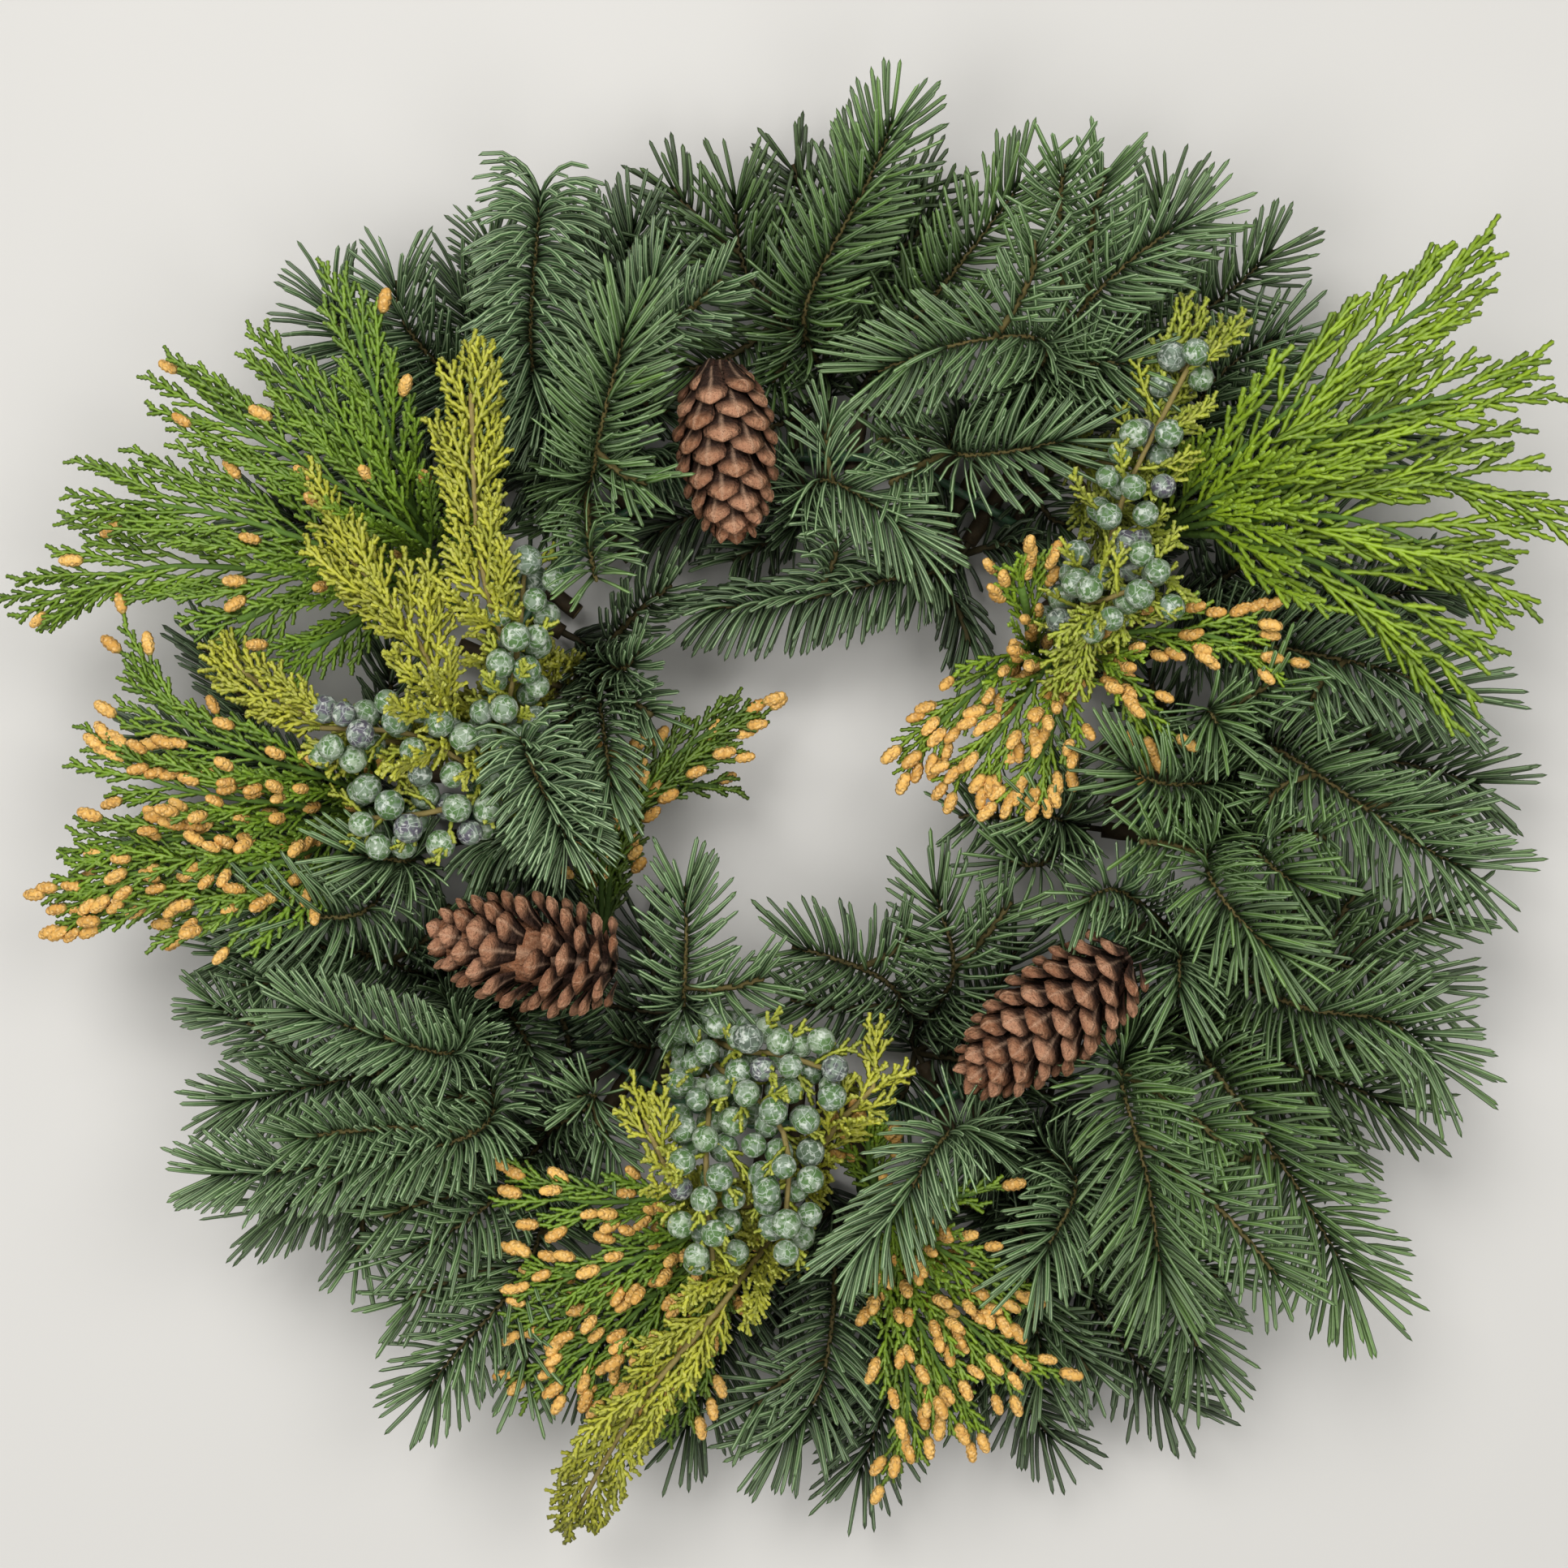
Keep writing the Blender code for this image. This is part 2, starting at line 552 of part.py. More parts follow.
def mesh_of_curve(curve_object):
    """The curve's own surface as a closed mesh object, in place of the curve."""
    bpy.context.view_layer.update()
    evaluated = curve_object.evaluated_get(bpy.context.evaluated_depsgraph_get())
    mesh = bpy.data.meshes.new_from_object(evaluated)
    name, place = curve_object.name, curve_object.matrix_world.copy()
    bpy.data.objects.remove(curve_object)
    made = bpy.data.objects.new(name, mesh)
    made.matrix_world = place
    bm = bmesh.new()
    bm.from_mesh(mesh)
    bmesh.ops.remove_doubles(bm, verts=bm.verts, dist=1e-6)
    bmesh.ops.recalc_face_normals(bm, faces=bm.faces)
    bm.to_mesh(mesh)
    bm.free()
    return made


def poly_curve(name, points, radii, tilts, cyclic=False):
    curve = bpy.data.curves.new(name, "CURVE")
    curve.dimensions = "3D"
    spline = curve.splines.new("POLY")
    spline.points.add(len(points) - 1)
    spline.use_cyclic_u = cyclic
    for target, point, radius, tilt in zip(spline.points, points, radii, tilts):
        target.co = (*point, 1.0)
        target.radius = radius
        target.tilt = tilt
    obj = bpy.data.objects.new(name, curve)
    bpy.context.scene.collection.objects.link(obj)
    return obj


def wire(name, points, radius):
    """A four-sided wire with closed ends."""
    obj = poly_curve(name, points, [1.0] * len(points), [0.0] * len(points))
    obj.data.bevel_depth = radius
    obj.data.bevel_resolution = 0
    obj.data.use_fill_caps = True
    return mesh_of_curve(obj)


def shoot_tube(stem, places):
    """A three-sided tapered stem, with a ring at each fork and a band, turned a little, at each whorl."""
    first = places[0] - WHORL_BAND / 2
    forks = [fork for fork in stem.forks if fork < first - WHORL_BAND]
    bare = np.linspace(0, first, max(2, round(first / BARE_STEP) + 1))[:-1]
    clear = [ring for ring in bare if all(abs(ring - fork) > WHORL_BAND for fork in forks)]
    rings = sorted([*forks, *clear])
    turns = [0.0] * len(rings)
    for number, place in enumerate(places):
        rings += [place - WHORL_BAND / 2, place + WHORL_BAND / 2]
        turns += [WHORL_TURN * number] * 2
    profile = [polar(1.0, angle, 0.0) for angle in (90, 210, 330)]
    guide = poly_curve("profile", profile, [1.0] * 3, [0.0] * 3, cyclic=True)
    obj = poly_curve("shoot", stem.at(np.array(rings)), stem.radius_at(np.array(rings)), turns)
    obj.data.bevel_mode = "OBJECT"
    obj.data.bevel_object = guide
    obj.data.use_fill_caps = True
    made = mesh_of_curve(obj)
    bpy.data.objects.remove(guide)
    return made


def mesh_object(name, bm):
    mesh = bpy.data.meshes.new(name)
    bm.to_mesh(mesh)
    bm.free()
    return bpy.data.objects.new(name, mesh)


def facing(direction):
    """A rotation whose local Z runs along the direction, with local X as near to upright as it can be."""
    z = Vector(direction).normalized()
    up = Vector((0, 0, 1)) if abs(z.z) < 0.95 else Vector((0, 1, 0))
    x = (up - z * up.dot(z)).normalized()
    return Matrix((x, z.cross(x), z)).transposed().to_4x4()


def flat_to_flat(sides):
    """A turn that brings the flats of a rod with this many sides to face its local X."""
    return Matrix.Rotation(math.pi / sides, 4, "Z")


def butt_solid(bough):
    """The cut stem: a squared rod with a flat above and below."""
    cut_end, mouth = (Vector(end) for end in butt_ends(bough))
    bm = bmesh.new()
    place = Matrix.Translation((cut_end + mouth) / 2) @ facing(mouth - cut_end) @ flat_to_flat(BUTT_SIDES)
    bmesh.ops.create_cone(
        bm, cap_ends=True, segments=BUTT_SIDES, radius1=BUTT_RADIUS, radius2=BUTT_RADIUS,
        depth=(mouth - cut_end).length, matrix=place,
    )
    return mesh_object(f"{bough.name}_butt", bm)


def berry_solid(centre):
    bm = bmesh.new()
    place = Matrix.Translation(Vector(centre))
    bmesh.ops.create_icosphere(bm, subdivisions=1, radius=BERRY_RADIUS, matrix=place)
    return mesh_object("berry", bm)


def adopt(obj, home):
    for old in list(obj.users_collection):
        old.objects.unlink(obj)
    home.objects.link(obj)


def thin_edges(bm):
    """The longest edge of each hair-thin triangle, one for each pair of triangles."""
    found = set()
    for face in bm.faces:
        longest = max(face.edges, key=lambda edge: edge.calc_length())
        beside = {other for edge in face.edges for other in edge.link_faces}
        taken = any(edge in found for other in beside for edge in other.edges)
        if not taken and 2 * face.calc_area() < SLIVER * longest.calc_length():
            found.add(longest)
    return list(found)


def swap_slivers(mesh):
    """Swaps the long edges of hair-thin triangles, which a union leaves where surfaces almost meet."""
    bm = bmesh.new()
    bm.from_mesh(mesh)
    bmesh.ops.triangulate(bm, faces=bm.faces)
    for _ in range(SLIVER_ROUNDS):
        swaps = thin_edges(bm)
        if swaps:
            bmesh.ops.rotate_edges(bm, edges=swaps)
            bm.to_mesh(mesh)
    bm.free()


def join_solids(name, solids, kind, home):
    """One closed body from overlapping solids."""
    first, rest = solids[0], solids[1:]
    adopt(first, home)
    if rest:
        pieces = collection(f"{name}_pieces")
        for piece in rest:
            adopt(piece, pieces)
        union = first.modifiers.new("union", "BOOLEAN")
        union.operation = "UNION"
        union.operand_type = "COLLECTION"
        union.collection = pieces
        union.solver = "MANIFOLD"
        bpy.context.view_layer.update()
        evaluated = first.evaluated_get(bpy.context.evaluated_depsgraph_get())
        joined = bpy.data.meshes.new_from_object(evaluated)
        swap_slivers(joined)
        first.modifiers.clear()
        first.data = joined
        for piece in rest:
            bpy.data.objects.remove(piece)
        bpy.data.collections.remove(pieces)
    first.name = name
    first.data.materials.clear()
    first.data.materials.append(material(kind))
    return first


# Needles, twigs and what they bear


def whorl_places(stem):
    dressed = min(stem.total * DRESSED_PART[stem.bough.kind], MOST_DRESSED)
    count = max(2, round(dressed / WHORL_STEP[stem.bough.kind]) + 1)
    return np.linspace(stem.total - dressed, stem.total - WHORL_BAND, count)


def whorl_faces(bm, stem, place):
    """The triangles of the band at this place, each with its direction out of the stem."""
    middle, tangent = stem.at(place), stem.tangent_at(place)
    band = []
    for face in bm.faces:
        offset = np.array(face.calc_center_median()) - middle
        if abs(offset @ tangent) < WHORL_BAND * 0.6 and np.linalg.norm(offset) < 2 * FORK_RADIUS:
            band.append(face)
    split = bmesh.ops.triangulate(bm, faces=band)["faces"]
    found = []
    for face in split:
        offset = np.array(face.calc_center_median()) - middle
        found.append((face, unit(offset - tangent * (offset @ tangent))))
    return found, tangent


def chosen(found, tangent, kind):
    """Cedar twigs lie to both sides of their shoot, berries face up, and needles go all round."""
    if kind == "berry":
        return [pair for pair in found if pair[1][2] > BERRY_UP]
    if kind != "cedar":
        return found
    side = unit(np.cross(tangent, (0, 0, 1)))
    ranked = sorted(found, key=lambda pair: pair[1] @ side)
    return ranked[:2] + ranked[2:][-2:]


def ways_out(outward, tangent, forward, kind, draw):
    """Directions to try, the natural one first, then turned round the shoot or leant along it."""
    if kind == "cedar":
        side = unit(np.cross(tangent, (0, 0, 1)))
        flat = side * math.copysign(1, outward @ side)
        outward = unit(flat + np.cross(side, tangent) * draw.uniform(-0.18, 0.22))
    for turn, lean in BENDS:
        around = Matrix.Rotation(math.radians(turn + draw.uniform(-5, 5)), 3, Vector(tangent))
        angle = math.radians(forward + lean + draw.uniform(-7, 7))
        yield np.array(around @ Vector(outward)) * math.sin(angle) + tangent * math.cos(angle)


def needle_rods(root, tip, tip_radius):
    run = tip - root
    for low, high, radius in NEEDLE_RODS:
        yield Rod(root + run * low, root + run * high, max(radius, tip_radius * (high == 1.0)))


def find_way(stem, whorl, root, ways, length, end_radius, room):
    """The first direction and share of the length that leaves the needle clear, with its rods."""
    nearby = room.near(root, length + 0.008)
    ways = list(ways)
    for share in SHORTER:
        for way in ways:
            rods = list(needle_rods(root, root + way * length * share, end_radius))
            parts = [BASE] + [OUTER] * (len(rods) - 1)
            if all(room.clear(rod, part, stem.number, whorl, nearby) for rod, part in zip(rods, parts)):
                for rod, part in zip(rods, parts):
                    room.add(rod, stem.number, whorl, part)
                return root + way * length * share, way
    return None, None


def raise_spike(bm, face, tip):
    bmesh.ops.poke(bm, faces=[face])["verts"][0].co = tip


def raise_catkin(bm, face, tip, way):
    """A twig that narrows to the foot of a pollen cone, swells to its belly and closes at its tip."""
    for share, radius in ((1.0, CATKIN_NECK), (CATKIN_BELLY, CATKIN_RADIUS)):
        face = bmesh.ops.extrude_discrete_faces(bm, faces=[face])["faces"][0]
        centre = face.calc_center_median()
        middle = Vector(tip - way * CATKIN_LENGTH * share)
        for vert in face.verts:
            offset = vert.co - centre
            offset -= Vector(way) * offset.dot(Vector(way))
            vert.co = middle + offset.normalized() * radius
    raise_spike(bm, face, tip)


def dress(stem, obj, places, room, draw):
    """Raises needles or twigs from the shoot's own surface, and gives the berries that sit on their ends."""
    kind, spec = stem.bough.kind, stem.spec
    bm = bmesh.new()
    bm.from_mesh(obj.data)
    berries = []
    for whorl, place in enumerate(places):
        last = whorl == len(places) - 1
        found, tangent = whorl_faces(bm, stem, place)
        for face, outward in chosen(found, tangent, kind):
            forward = spec.forward or FORWARD[kind]
            forward *= TIP_LEAN if last else 1.0
            length = spec.needle * MM * draw.uniform(0.84, 1.04)
            bears = draw.random() < stem.bough.fruit
            end_radius = (BERRY_RADIUS if kind == "berry" else CATKIN_RADIUS) * bears
            root = np.array(face.calc_center_median())
            ways = ways_out(outward, tangent, forward, kind, draw)
            tip, way = find_way(stem, whorl, root, ways, length, end_radius, room)
            if tip is None:
                continue
            if bears and kind == "cedar":
                raise_catkin(bm, face, tip, way)
                continue
            raise_spike(bm, face, tip)
            if bears:
                berries.append(berry_solid(tip - way * BERRY_RADIUS * (1 - BERRY_SINK)))
    bm.to_mesh(obj.data)
    bm.free()
    return berries


def build_bough(bough, stems, room, home):
    draw = random.Random(f"{SEED} {bough.name}")
    solids = [butt_solid(bough)]
    for stem in stems:
        if stem.bough is bough:
            places = whorl_places(stem)
            tube = shoot_tube(stem, places)
            solids += [tube, *dress(stem, tube, places, room, draw)]
    return join_solids(bough.name, solids, bough.kind, home)


# Pine cones and their picks


def build_cone(cone, home):
    """A tapering core with a staggered row of open scales on each ring."""
    base, tip = Vector(cone.base) * MM, Vector(cone.tip) * MM
    length, radius = (tip - base).length, cone.radius * MM
    bm = bmesh.new()
    bmesh.ops.create_uvsphere(bm, u_segments=CONE_SIDES, v_segments=CONE_RINGS, radius=1.0)
    for vert in bm.verts:
        share = (vert.co.z + 1) / 2
        ring = round(math.acos(max(-1.0, min(1.0, vert.co.z))) / math.pi * CONE_RINGS)
        width = math.hypot(vert.co.x, vert.co.y)
        angle = math.atan2(vert.co.y, vert.co.x) + ring * math.pi / CONE_SIDES
        reach = width * radius * CONE_CORE * (1.12 - 0.30 * share)
        vert.co = (reach * math.cos(angle), reach * math.sin(angle), share * length * 0.9 + length * 0.04)
    quads = [face for face in bm.faces if len(face.verts) == 4]
    rise = radius * (1 - CONE_CORE)
    for face in bmesh.ops.extrude_discrete_faces(bm, faces=quads)["faces"]:
        centre = face.calc_center_median()
        out = Vector((centre.x, centre.y, 0)).normalized()
        taper = 1.0 - 0.45 * centre.z / length
        for vert in face.verts:
            ahead = vert.co.z > centre.z
            vert.co = centre + (vert.co - centre) * SCALE_SHRINK
            vert.co += out * taper * (rise - SCALE_LIFT + 2 * SCALE_LIFT * ahead)
            vert.co.z += SCALE_SLIDE
    bm.transform(Matrix.Translation(base) @ facing(tip - base))
    obj = mesh_object(cone.name, bm)
    return join_solids(cone.name, [obj], "cone", home)


def pick_path(cone, cone_object):
    """From beside the ring's wire up to just under the cone."""
    graph = bpy.context.evaluated_depsgraph_get()
    surface = BVHTree.FromObject(cone_object, graph)
    middle = (Vector(cone.base) + Vector(cone.tip)) / 2 * MM
    under = surface.ray_cast(Vector((middle.x, middle.y, 0)), Vector((0, 0, 1)))[0]
    top = np.array(under) - (0, 0, SEAT + PICK_RADIUS)
    beside = RING_RADIUS + WIRE_RADIUS + SEAT + PICK_RADIUS
    foot = polar(beside, cone.pick_angle, FLOOR_ROOM + PICK_RADIUS)
    shin = polar(beside, cone.pick_angle, 4 * WIRE_HEIGHT)
    knee = np.array((*(shin[:2] * 0.6 + top[:2] * 0.4), 0.030))
    neck = top - (0, 0, 0.010)
    return [foot, shin, knee, neck, top]


def staple_path(clamp):
    middle = 360 / CLAMP_COUNT * clamp
    low, bend = WIRE_HEIGHT, 0.0025
    inset = math.degrees(bend / RING_RADIUS)
    path = []
    for side in (-1, 1):
        leg = [
            polar(RING_RADIUS, middle + side * CLAMP_SPREAD, low),
            polar(RING_RADIUS, middle + side * CLAMP_SPREAD, STAPLE_HEIGHT - bend),
            polar(RING_RADIUS, middle + side * (CLAMP_SPREAD - inset), STAPLE_HEIGHT),
        ]
        path = leg if side < 0 else path + leg[::-1]
    return path


def build_frame(home):
    bpy.ops.mesh.primitive_torus_add(
        major_segments=RING_STEPS, minor_segments=RING_SIDES, major_radius=RING_RADIUS,
        minor_radius=WIRE_RADIUS, location=(0, 0, WIRE_HEIGHT),
    )
    solids = [bpy.context.object]
    for clamp in range(CLAMP_COUNT):
        solids.append(wire("staple", staple_path(clamp), STAPLE_RADIUS))
    return join_solids("wire_frame", solids, "wire", home)


def place_on_centre(home):
    """Everything above is built round the wire ring's middle, which an empty then carries to its place."""
    centre = bpy.data.objects.new("wire_ring_centre", None)
    centre.location = RING_CENTRE
    home.objects.link(centre)
    for obj in home.objects:
        if obj is not centre:
            obj.parent = centre


def place_order(bough):
    """Berries and sprays take their room first, then the fir boughs from the highest down."""
    kinds = ("berry", "cedar", "juniper", "fir")
    heights = [point[2] for spec in bough.shoots for point in spec.points]
    return kinds.index(bough.kind), -sum(heights) / len(heights)


def main():
    clear_scene()
    home = collection(OBJECT_NAME)
    build_frame(home)
    fixed = frame_rods()
    for cone in CONES:
        cone_object = build_cone(cone, home)
        path = pick_path(cone, cone_object)
        pick = wire(f"{cone.name}_pick", path, PICK_RADIUS)
        join_solids(pick.name, [pick], "wire", home)
        fixed += cone_rods(cone) + path_rods(path, [PICK_RADIUS] * len(path))
    for bough in BOUGHS:
        cut_end, mouth = butt_ends(bough)
        fixed.append(Rod(cut_end, mouth, BUTT_RADIUS, bough.name))
    stems = lay_stems()
    settle(stems, fixed)
    room = Room()
    for rod in fixed:
        room.add(rod, -1, -1, STEM)
    for stem in stems:
        for rod in path_rods(stem.path, stem.radii()):
            room.add(rod, stem.number, -1, STEM)
    for bough in sorted(BOUGHS, key=place_order):
        build_bough(bough, stems, room, home)
    place_on_centre(home)


main()
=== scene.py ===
"""The looks of a fresh evergreen candle ring: needles, scaly sprays, pollen cones, berries and pine cones.

Metres, +Z up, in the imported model's frame. The tables give places in millimetres from the middle of the
wire ring, as in the part's source, so each finely modelled shoot lies along the line of its solid.
"""

import json
import math
from collections import namedtuple

import bpy
import numpy as np
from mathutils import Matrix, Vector
from mathutils.bvhtree import BVHTree
from mathutils.kdtree import KDTree

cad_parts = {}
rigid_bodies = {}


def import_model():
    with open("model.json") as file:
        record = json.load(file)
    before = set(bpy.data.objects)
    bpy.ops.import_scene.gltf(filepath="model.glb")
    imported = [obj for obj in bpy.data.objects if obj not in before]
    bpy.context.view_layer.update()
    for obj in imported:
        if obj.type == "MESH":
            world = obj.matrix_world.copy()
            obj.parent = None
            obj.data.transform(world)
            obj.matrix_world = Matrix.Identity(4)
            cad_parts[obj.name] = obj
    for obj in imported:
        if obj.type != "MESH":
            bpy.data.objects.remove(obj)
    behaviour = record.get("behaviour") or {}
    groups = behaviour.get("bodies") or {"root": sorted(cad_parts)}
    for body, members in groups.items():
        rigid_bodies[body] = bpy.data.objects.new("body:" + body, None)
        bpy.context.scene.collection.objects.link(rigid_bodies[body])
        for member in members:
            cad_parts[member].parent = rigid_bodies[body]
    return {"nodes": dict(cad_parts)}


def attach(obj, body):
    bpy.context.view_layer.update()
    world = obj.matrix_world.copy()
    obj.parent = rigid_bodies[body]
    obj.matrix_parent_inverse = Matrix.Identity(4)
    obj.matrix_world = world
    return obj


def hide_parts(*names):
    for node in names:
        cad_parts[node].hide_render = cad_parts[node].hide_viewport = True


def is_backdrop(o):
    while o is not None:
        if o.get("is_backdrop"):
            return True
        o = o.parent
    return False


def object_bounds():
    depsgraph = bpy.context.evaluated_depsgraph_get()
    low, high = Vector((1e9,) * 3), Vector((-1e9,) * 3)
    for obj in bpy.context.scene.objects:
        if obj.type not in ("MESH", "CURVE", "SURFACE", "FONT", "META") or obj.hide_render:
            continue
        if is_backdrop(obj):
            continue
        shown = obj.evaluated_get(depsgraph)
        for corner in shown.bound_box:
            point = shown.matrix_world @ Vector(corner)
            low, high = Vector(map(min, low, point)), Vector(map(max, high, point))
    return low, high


MM = 0.001
SEED = 11

# The wire ring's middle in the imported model's frame
RING_CENTRE = (0.0123, 0.0070, 0.0)

# Gap between pieces that touch, and the least between stems that only pass each other and above the floor
SEAT = 0.0003
STEM_ROOM = 0.0026
FLOOR_ROOM = 0.0010

# Wire frame: an eight-inch ring of heavy wire with a staple welded over each clamp's stems
RING_RADIUS = 0.102
WIRE_RADIUS = 0.0026
RING_SIDES = 6
RING_STEPS = 32
FINE_RING_STEPS, FINE_RING_SIDES = 96, 12
WIRE_SIDES = 10
WIRE_HEIGHT = WIRE_RADIUS * math.cos(math.pi / RING_SIDES)
CLAMP_COUNT = 12
CLAMP_SPREAD = 11.5
STAPLE_RADIUS = 0.0013
STAPLE_BEND = 0.0025
# A pick leaves the wire, bends at a knee on its way to the cone and ends upright under it
PICK_RADIUS = 0.0009
PICK_KNEE_SHARE, PICK_KNEE_HEIGHT = 0.4, 0.030
PICK_NECK = 0.010

# Cut stems under a clamp: two rows of four, side by side, across the ring
SLOT_ANGLES = (-7.5, -2.5, 2.5, 7.5)
BUTT_RADIUS = 0.0033
BUTT_SIDES = 4
BUTT_HALF_HEIGHT = BUTT_RADIUS * math.cos(math.pi / BUTT_SIDES)
ROOT_INNER, ROOT_OUTER = 0.089, 0.115
LOWER_ROW = 2 * WIRE_HEIGHT + SEAT + BUTT_HALF_HEIGHT
UPPER_ROW = LOWER_ROW + 2 * BUTT_HALF_HEIGHT + SEAT
STAPLE_HEIGHT = UPPER_ROW + BUTT_HALF_HEIGHT + SEAT + STAPLE_RADIUS
# A bough's stems start at this share of its butt, go straight on past it, and fork one after the other
FORK = 0.55
LEAD = 0.009
SIDE_STEP = 0.006
SIDE_LATEST = 0.45

# Shoots: a slim stem that narrows to its tip
FORK_RADIUS = 0.0021
SHOOT_RADIUS = {"fir": 0.0017, "cedar": 0.0013, "juniper": 0.0014, "berry": 0.0013}
TIP_RADIUS = 0.0010
NARROWING = 0.040

# Bending the stems clear of each other
SAMPLE = 0.004
CURVE_STEPS = 24
SETTLE_ROUNDS = 110
SOFTENING = 3
PLAN_GIVE = 0.35
PUSH_SHARE = 0.6
FIXED_PUSH_SHARE = 0.7
MOST_PUSH = 0.002
ROOT_EASE = 0.025

# The turn from one needle, scale or berry to the next, as plants grow them
GOLDEN = math.pi * (3 - math.sqrt(5))
# How far needles or twigs reach past the stem's end, as a share of their length
PAST_TIP = {"fir": 0.62, "cedar": 0.60, "juniper": 0.55, "berry": 0.2}

# Side shoots: their lengths, and their angles from their parent with how much they climb. Those that lean
# back pass over the clamp.
SIDE_LENGTHS = (0.030, 0.044, 0.060)
SIDE_ANGLES = {
    "fir": ((38, -0.20), (60, -0.15), (95, 0.25), (135, 0.45)),
    "cedar": ((24, -0.10), (40, -0.15)),
}
SIDE_NEEDLE = {"fir": 18, "cedar": 22}
SIDE_PLACES = 8
SIDE_FIRST, SIDE_LAST = 0.15, 0.70
SIDE_BEND = 0.25
SIDE_LOWEST = 0.006
SIDE_BARE = 0.006
MOST_SIDE_SHOOTS = 190
# The span of the hole that their stems leave free, and of the ring that they stay on
HOLE_LOW, HOLE_HIGH = np.array((-0.043, -0.040)), np.array((0.043, 0.054))
SIDE_OUTERMOST = 0.192
CONE_ROOM = 0.007
UNDER_CONE_ROOM = 0.010
# Side shoots are added where the way to the next shoot, at most WIDEST_GAP, is the longest
LEAST_GAP = 0.0085
WIDEST_GAP = 0.020
FAN_POINTS = 16
FAN_LIFT = 0.002

# Stems as they look: slimmer than the solids, with knots, and how green and how golden the young bark is
STEM_THINNER = {"fir": 0.50, "cedar": 0.72, "juniper": 0.72, "berry": 0.72}
BARK_TINTS = {"fir": (0.22, 0.0), "cedar": (0.95, 0.0), "juniper": (0.35, 0.40), "berry": (0.30, 0.30)}
BARK_STEP = 0.006
BARK_SIDES = 6
KNOT_SWELL = 0.10
KNOTS_PER_MM = 1.9
# Each stem is bare up to its first needle, so far past its clamp or its fork
BARE_PAST_CLAMP = 0.004
BARE_PAST_FORK = 0.006
# The cut face is a thin slice of its own on the end of a butt, which bulges a little along its length
CUT_DEPTH = 0.0002
BUTT_SWELL = 1.08
BUTT_BULGE = 0.05
BUTT_BULGES = 25
BUTT_RINGS = 10
BUTT_GREEN = 0.1
ROD_SIDES = 12

# Fir needles
NEEDLE_PITCH = 0.00054
FILLER_PITCH = 1.32
NEEDLE_HALF_WIDTH = 0.00074
NEEDLE_HALF_THICKNESS = 0.00040
NEEDLE_ANGLE = 58
# Needles close to a tip lean forward to this share of their angle, over this length of the stem
TIP_LEAN = 0.45
TIP_STRETCH = 0.016
# The first needles are shorter: a share of their length, and a rest that they gain over this far up the stem
GROWN_AFTER = 0.012
FIRST_LENGTH, GROWN_LENGTH = 0.78, 0.22
# How far needles turn towards level, and the share of its length by which a needle has its tip's angle
LEVEL = math.radians(78)
LEVELLING = 0.30
BENT_BY = 0.6
# Where a needle's rings are along it, closer for one that is blown aside, and its width there
NEEDLE_SHARES = np.array((0.0, 0.20, 0.54, 0.93, 1.0))
BLOWN_SHARES = np.array((0.0, 0.12, 0.28, 0.46, 0.68, 0.93, 1.0))
NEEDLE_WIDTHS = ((0, 0.18, 0.50, 0.93, 1.0), (0.60, 0.92, 1.0, 0.84, 0.20))
# Where needles part above the stem and how far round it they grow, in degrees from its upper side, then
# the shares of the needle's angle that it has at its root and towards its tip, how it is blown aside, and
# the shares of the usual spacing and length
Habit = namedtuple(
    "Habit", "parting lowest root_share tip_share sweep pitch stretch", defaults=((0, 0, 0), 1.0, 1.0))
COMB = Habit(5, 114, 1.20, 0.88)
BRUSH = Habit(0, 150, 1.20, 0.65, (0, 0, 0), 0.72, 0.88)
UPSWEPT = Habit(0, 118, 1.35, 0.95, (0, 0, 0.30), 0.66, 0.80)
HABITS = {
    3: Habit(0, 130, 0.9, 0.9, (0.1, -0.3, -0.1), 0.9),
    6: Habit(10, 150, 0.8, 0.9, (-0.25, -0.95, -0.25), 0.8),
    22: Habit(0, 140, 0.8, 0.9, (0.0, -0.55, -0.2), 0.9),
    29: UPSWEPT,
    30: UPSWEPT,
    31: BRUSH,
    33: Habit(0, 140, 0.85, 0.70, (0.15, -1.10, -0.1), 0.50),
    34: BRUSH,
    36: Habit(0, 140, 1.10, 0.8, (0.0, -0.45, 0.0), 0.8),
    37: Habit(0, 140, 0.75, 0.70, (0.0, -1.15, -0.1), 0.48),
    38: BRUSH,
}
# How yellow-green the growth of each fir bough is, from blue-green at 0
FRESHNESS = {
    1: 0.75, 2: 0.80, 3: 0.15, 4: 0.35, 5: 0.20, 6: 0.15, 7: 0.50, 8: 0.20, 9: 0.20, 10: 0.35,
    11: 0.45, 12: 0.60, 13: 0.75, 14: 0.40, 15: 0.30, 16: 0.55, 17: 0.80, 18: 0.70, 19: 0.25, 20: 0.50,
    21: 0.30, 22: 0.15, 23: 0.35, 24: 0.20, 25: 0.25, 26: 0.35, 27: 0.25, 28: 0.20, 29: 0.20, 30: 0.15,
    31: 0.05, 32: 0.25, 33: 0.0, 34: 0.10, 35: 0.10, 36: 0.05, 37: 0.0, 38: 0.05, 39: 0.60,
}

# Scaly twigs. A body is a twig's half width, half thickness and number of scales.
Body = namedtuple("Body", "half_width half_thickness scales")
# Small twigs on a twig: their spacing, the share of it that is bare, their angle, the longest and shortest,
# and how far they roll round it
Small = namedtuple("Small", "pitch bare angle longest shortest roll body")
# A spray's twigs: their spacing, the share of the shoot that is bare, their angle and how far they roll round
# it, how many times its needle length they are long, or the bounds of that, how fresh they are, and what
# grows on them
Spray = namedtuple("Spray", "pitch bare forward roll stretch fresh body smalls")
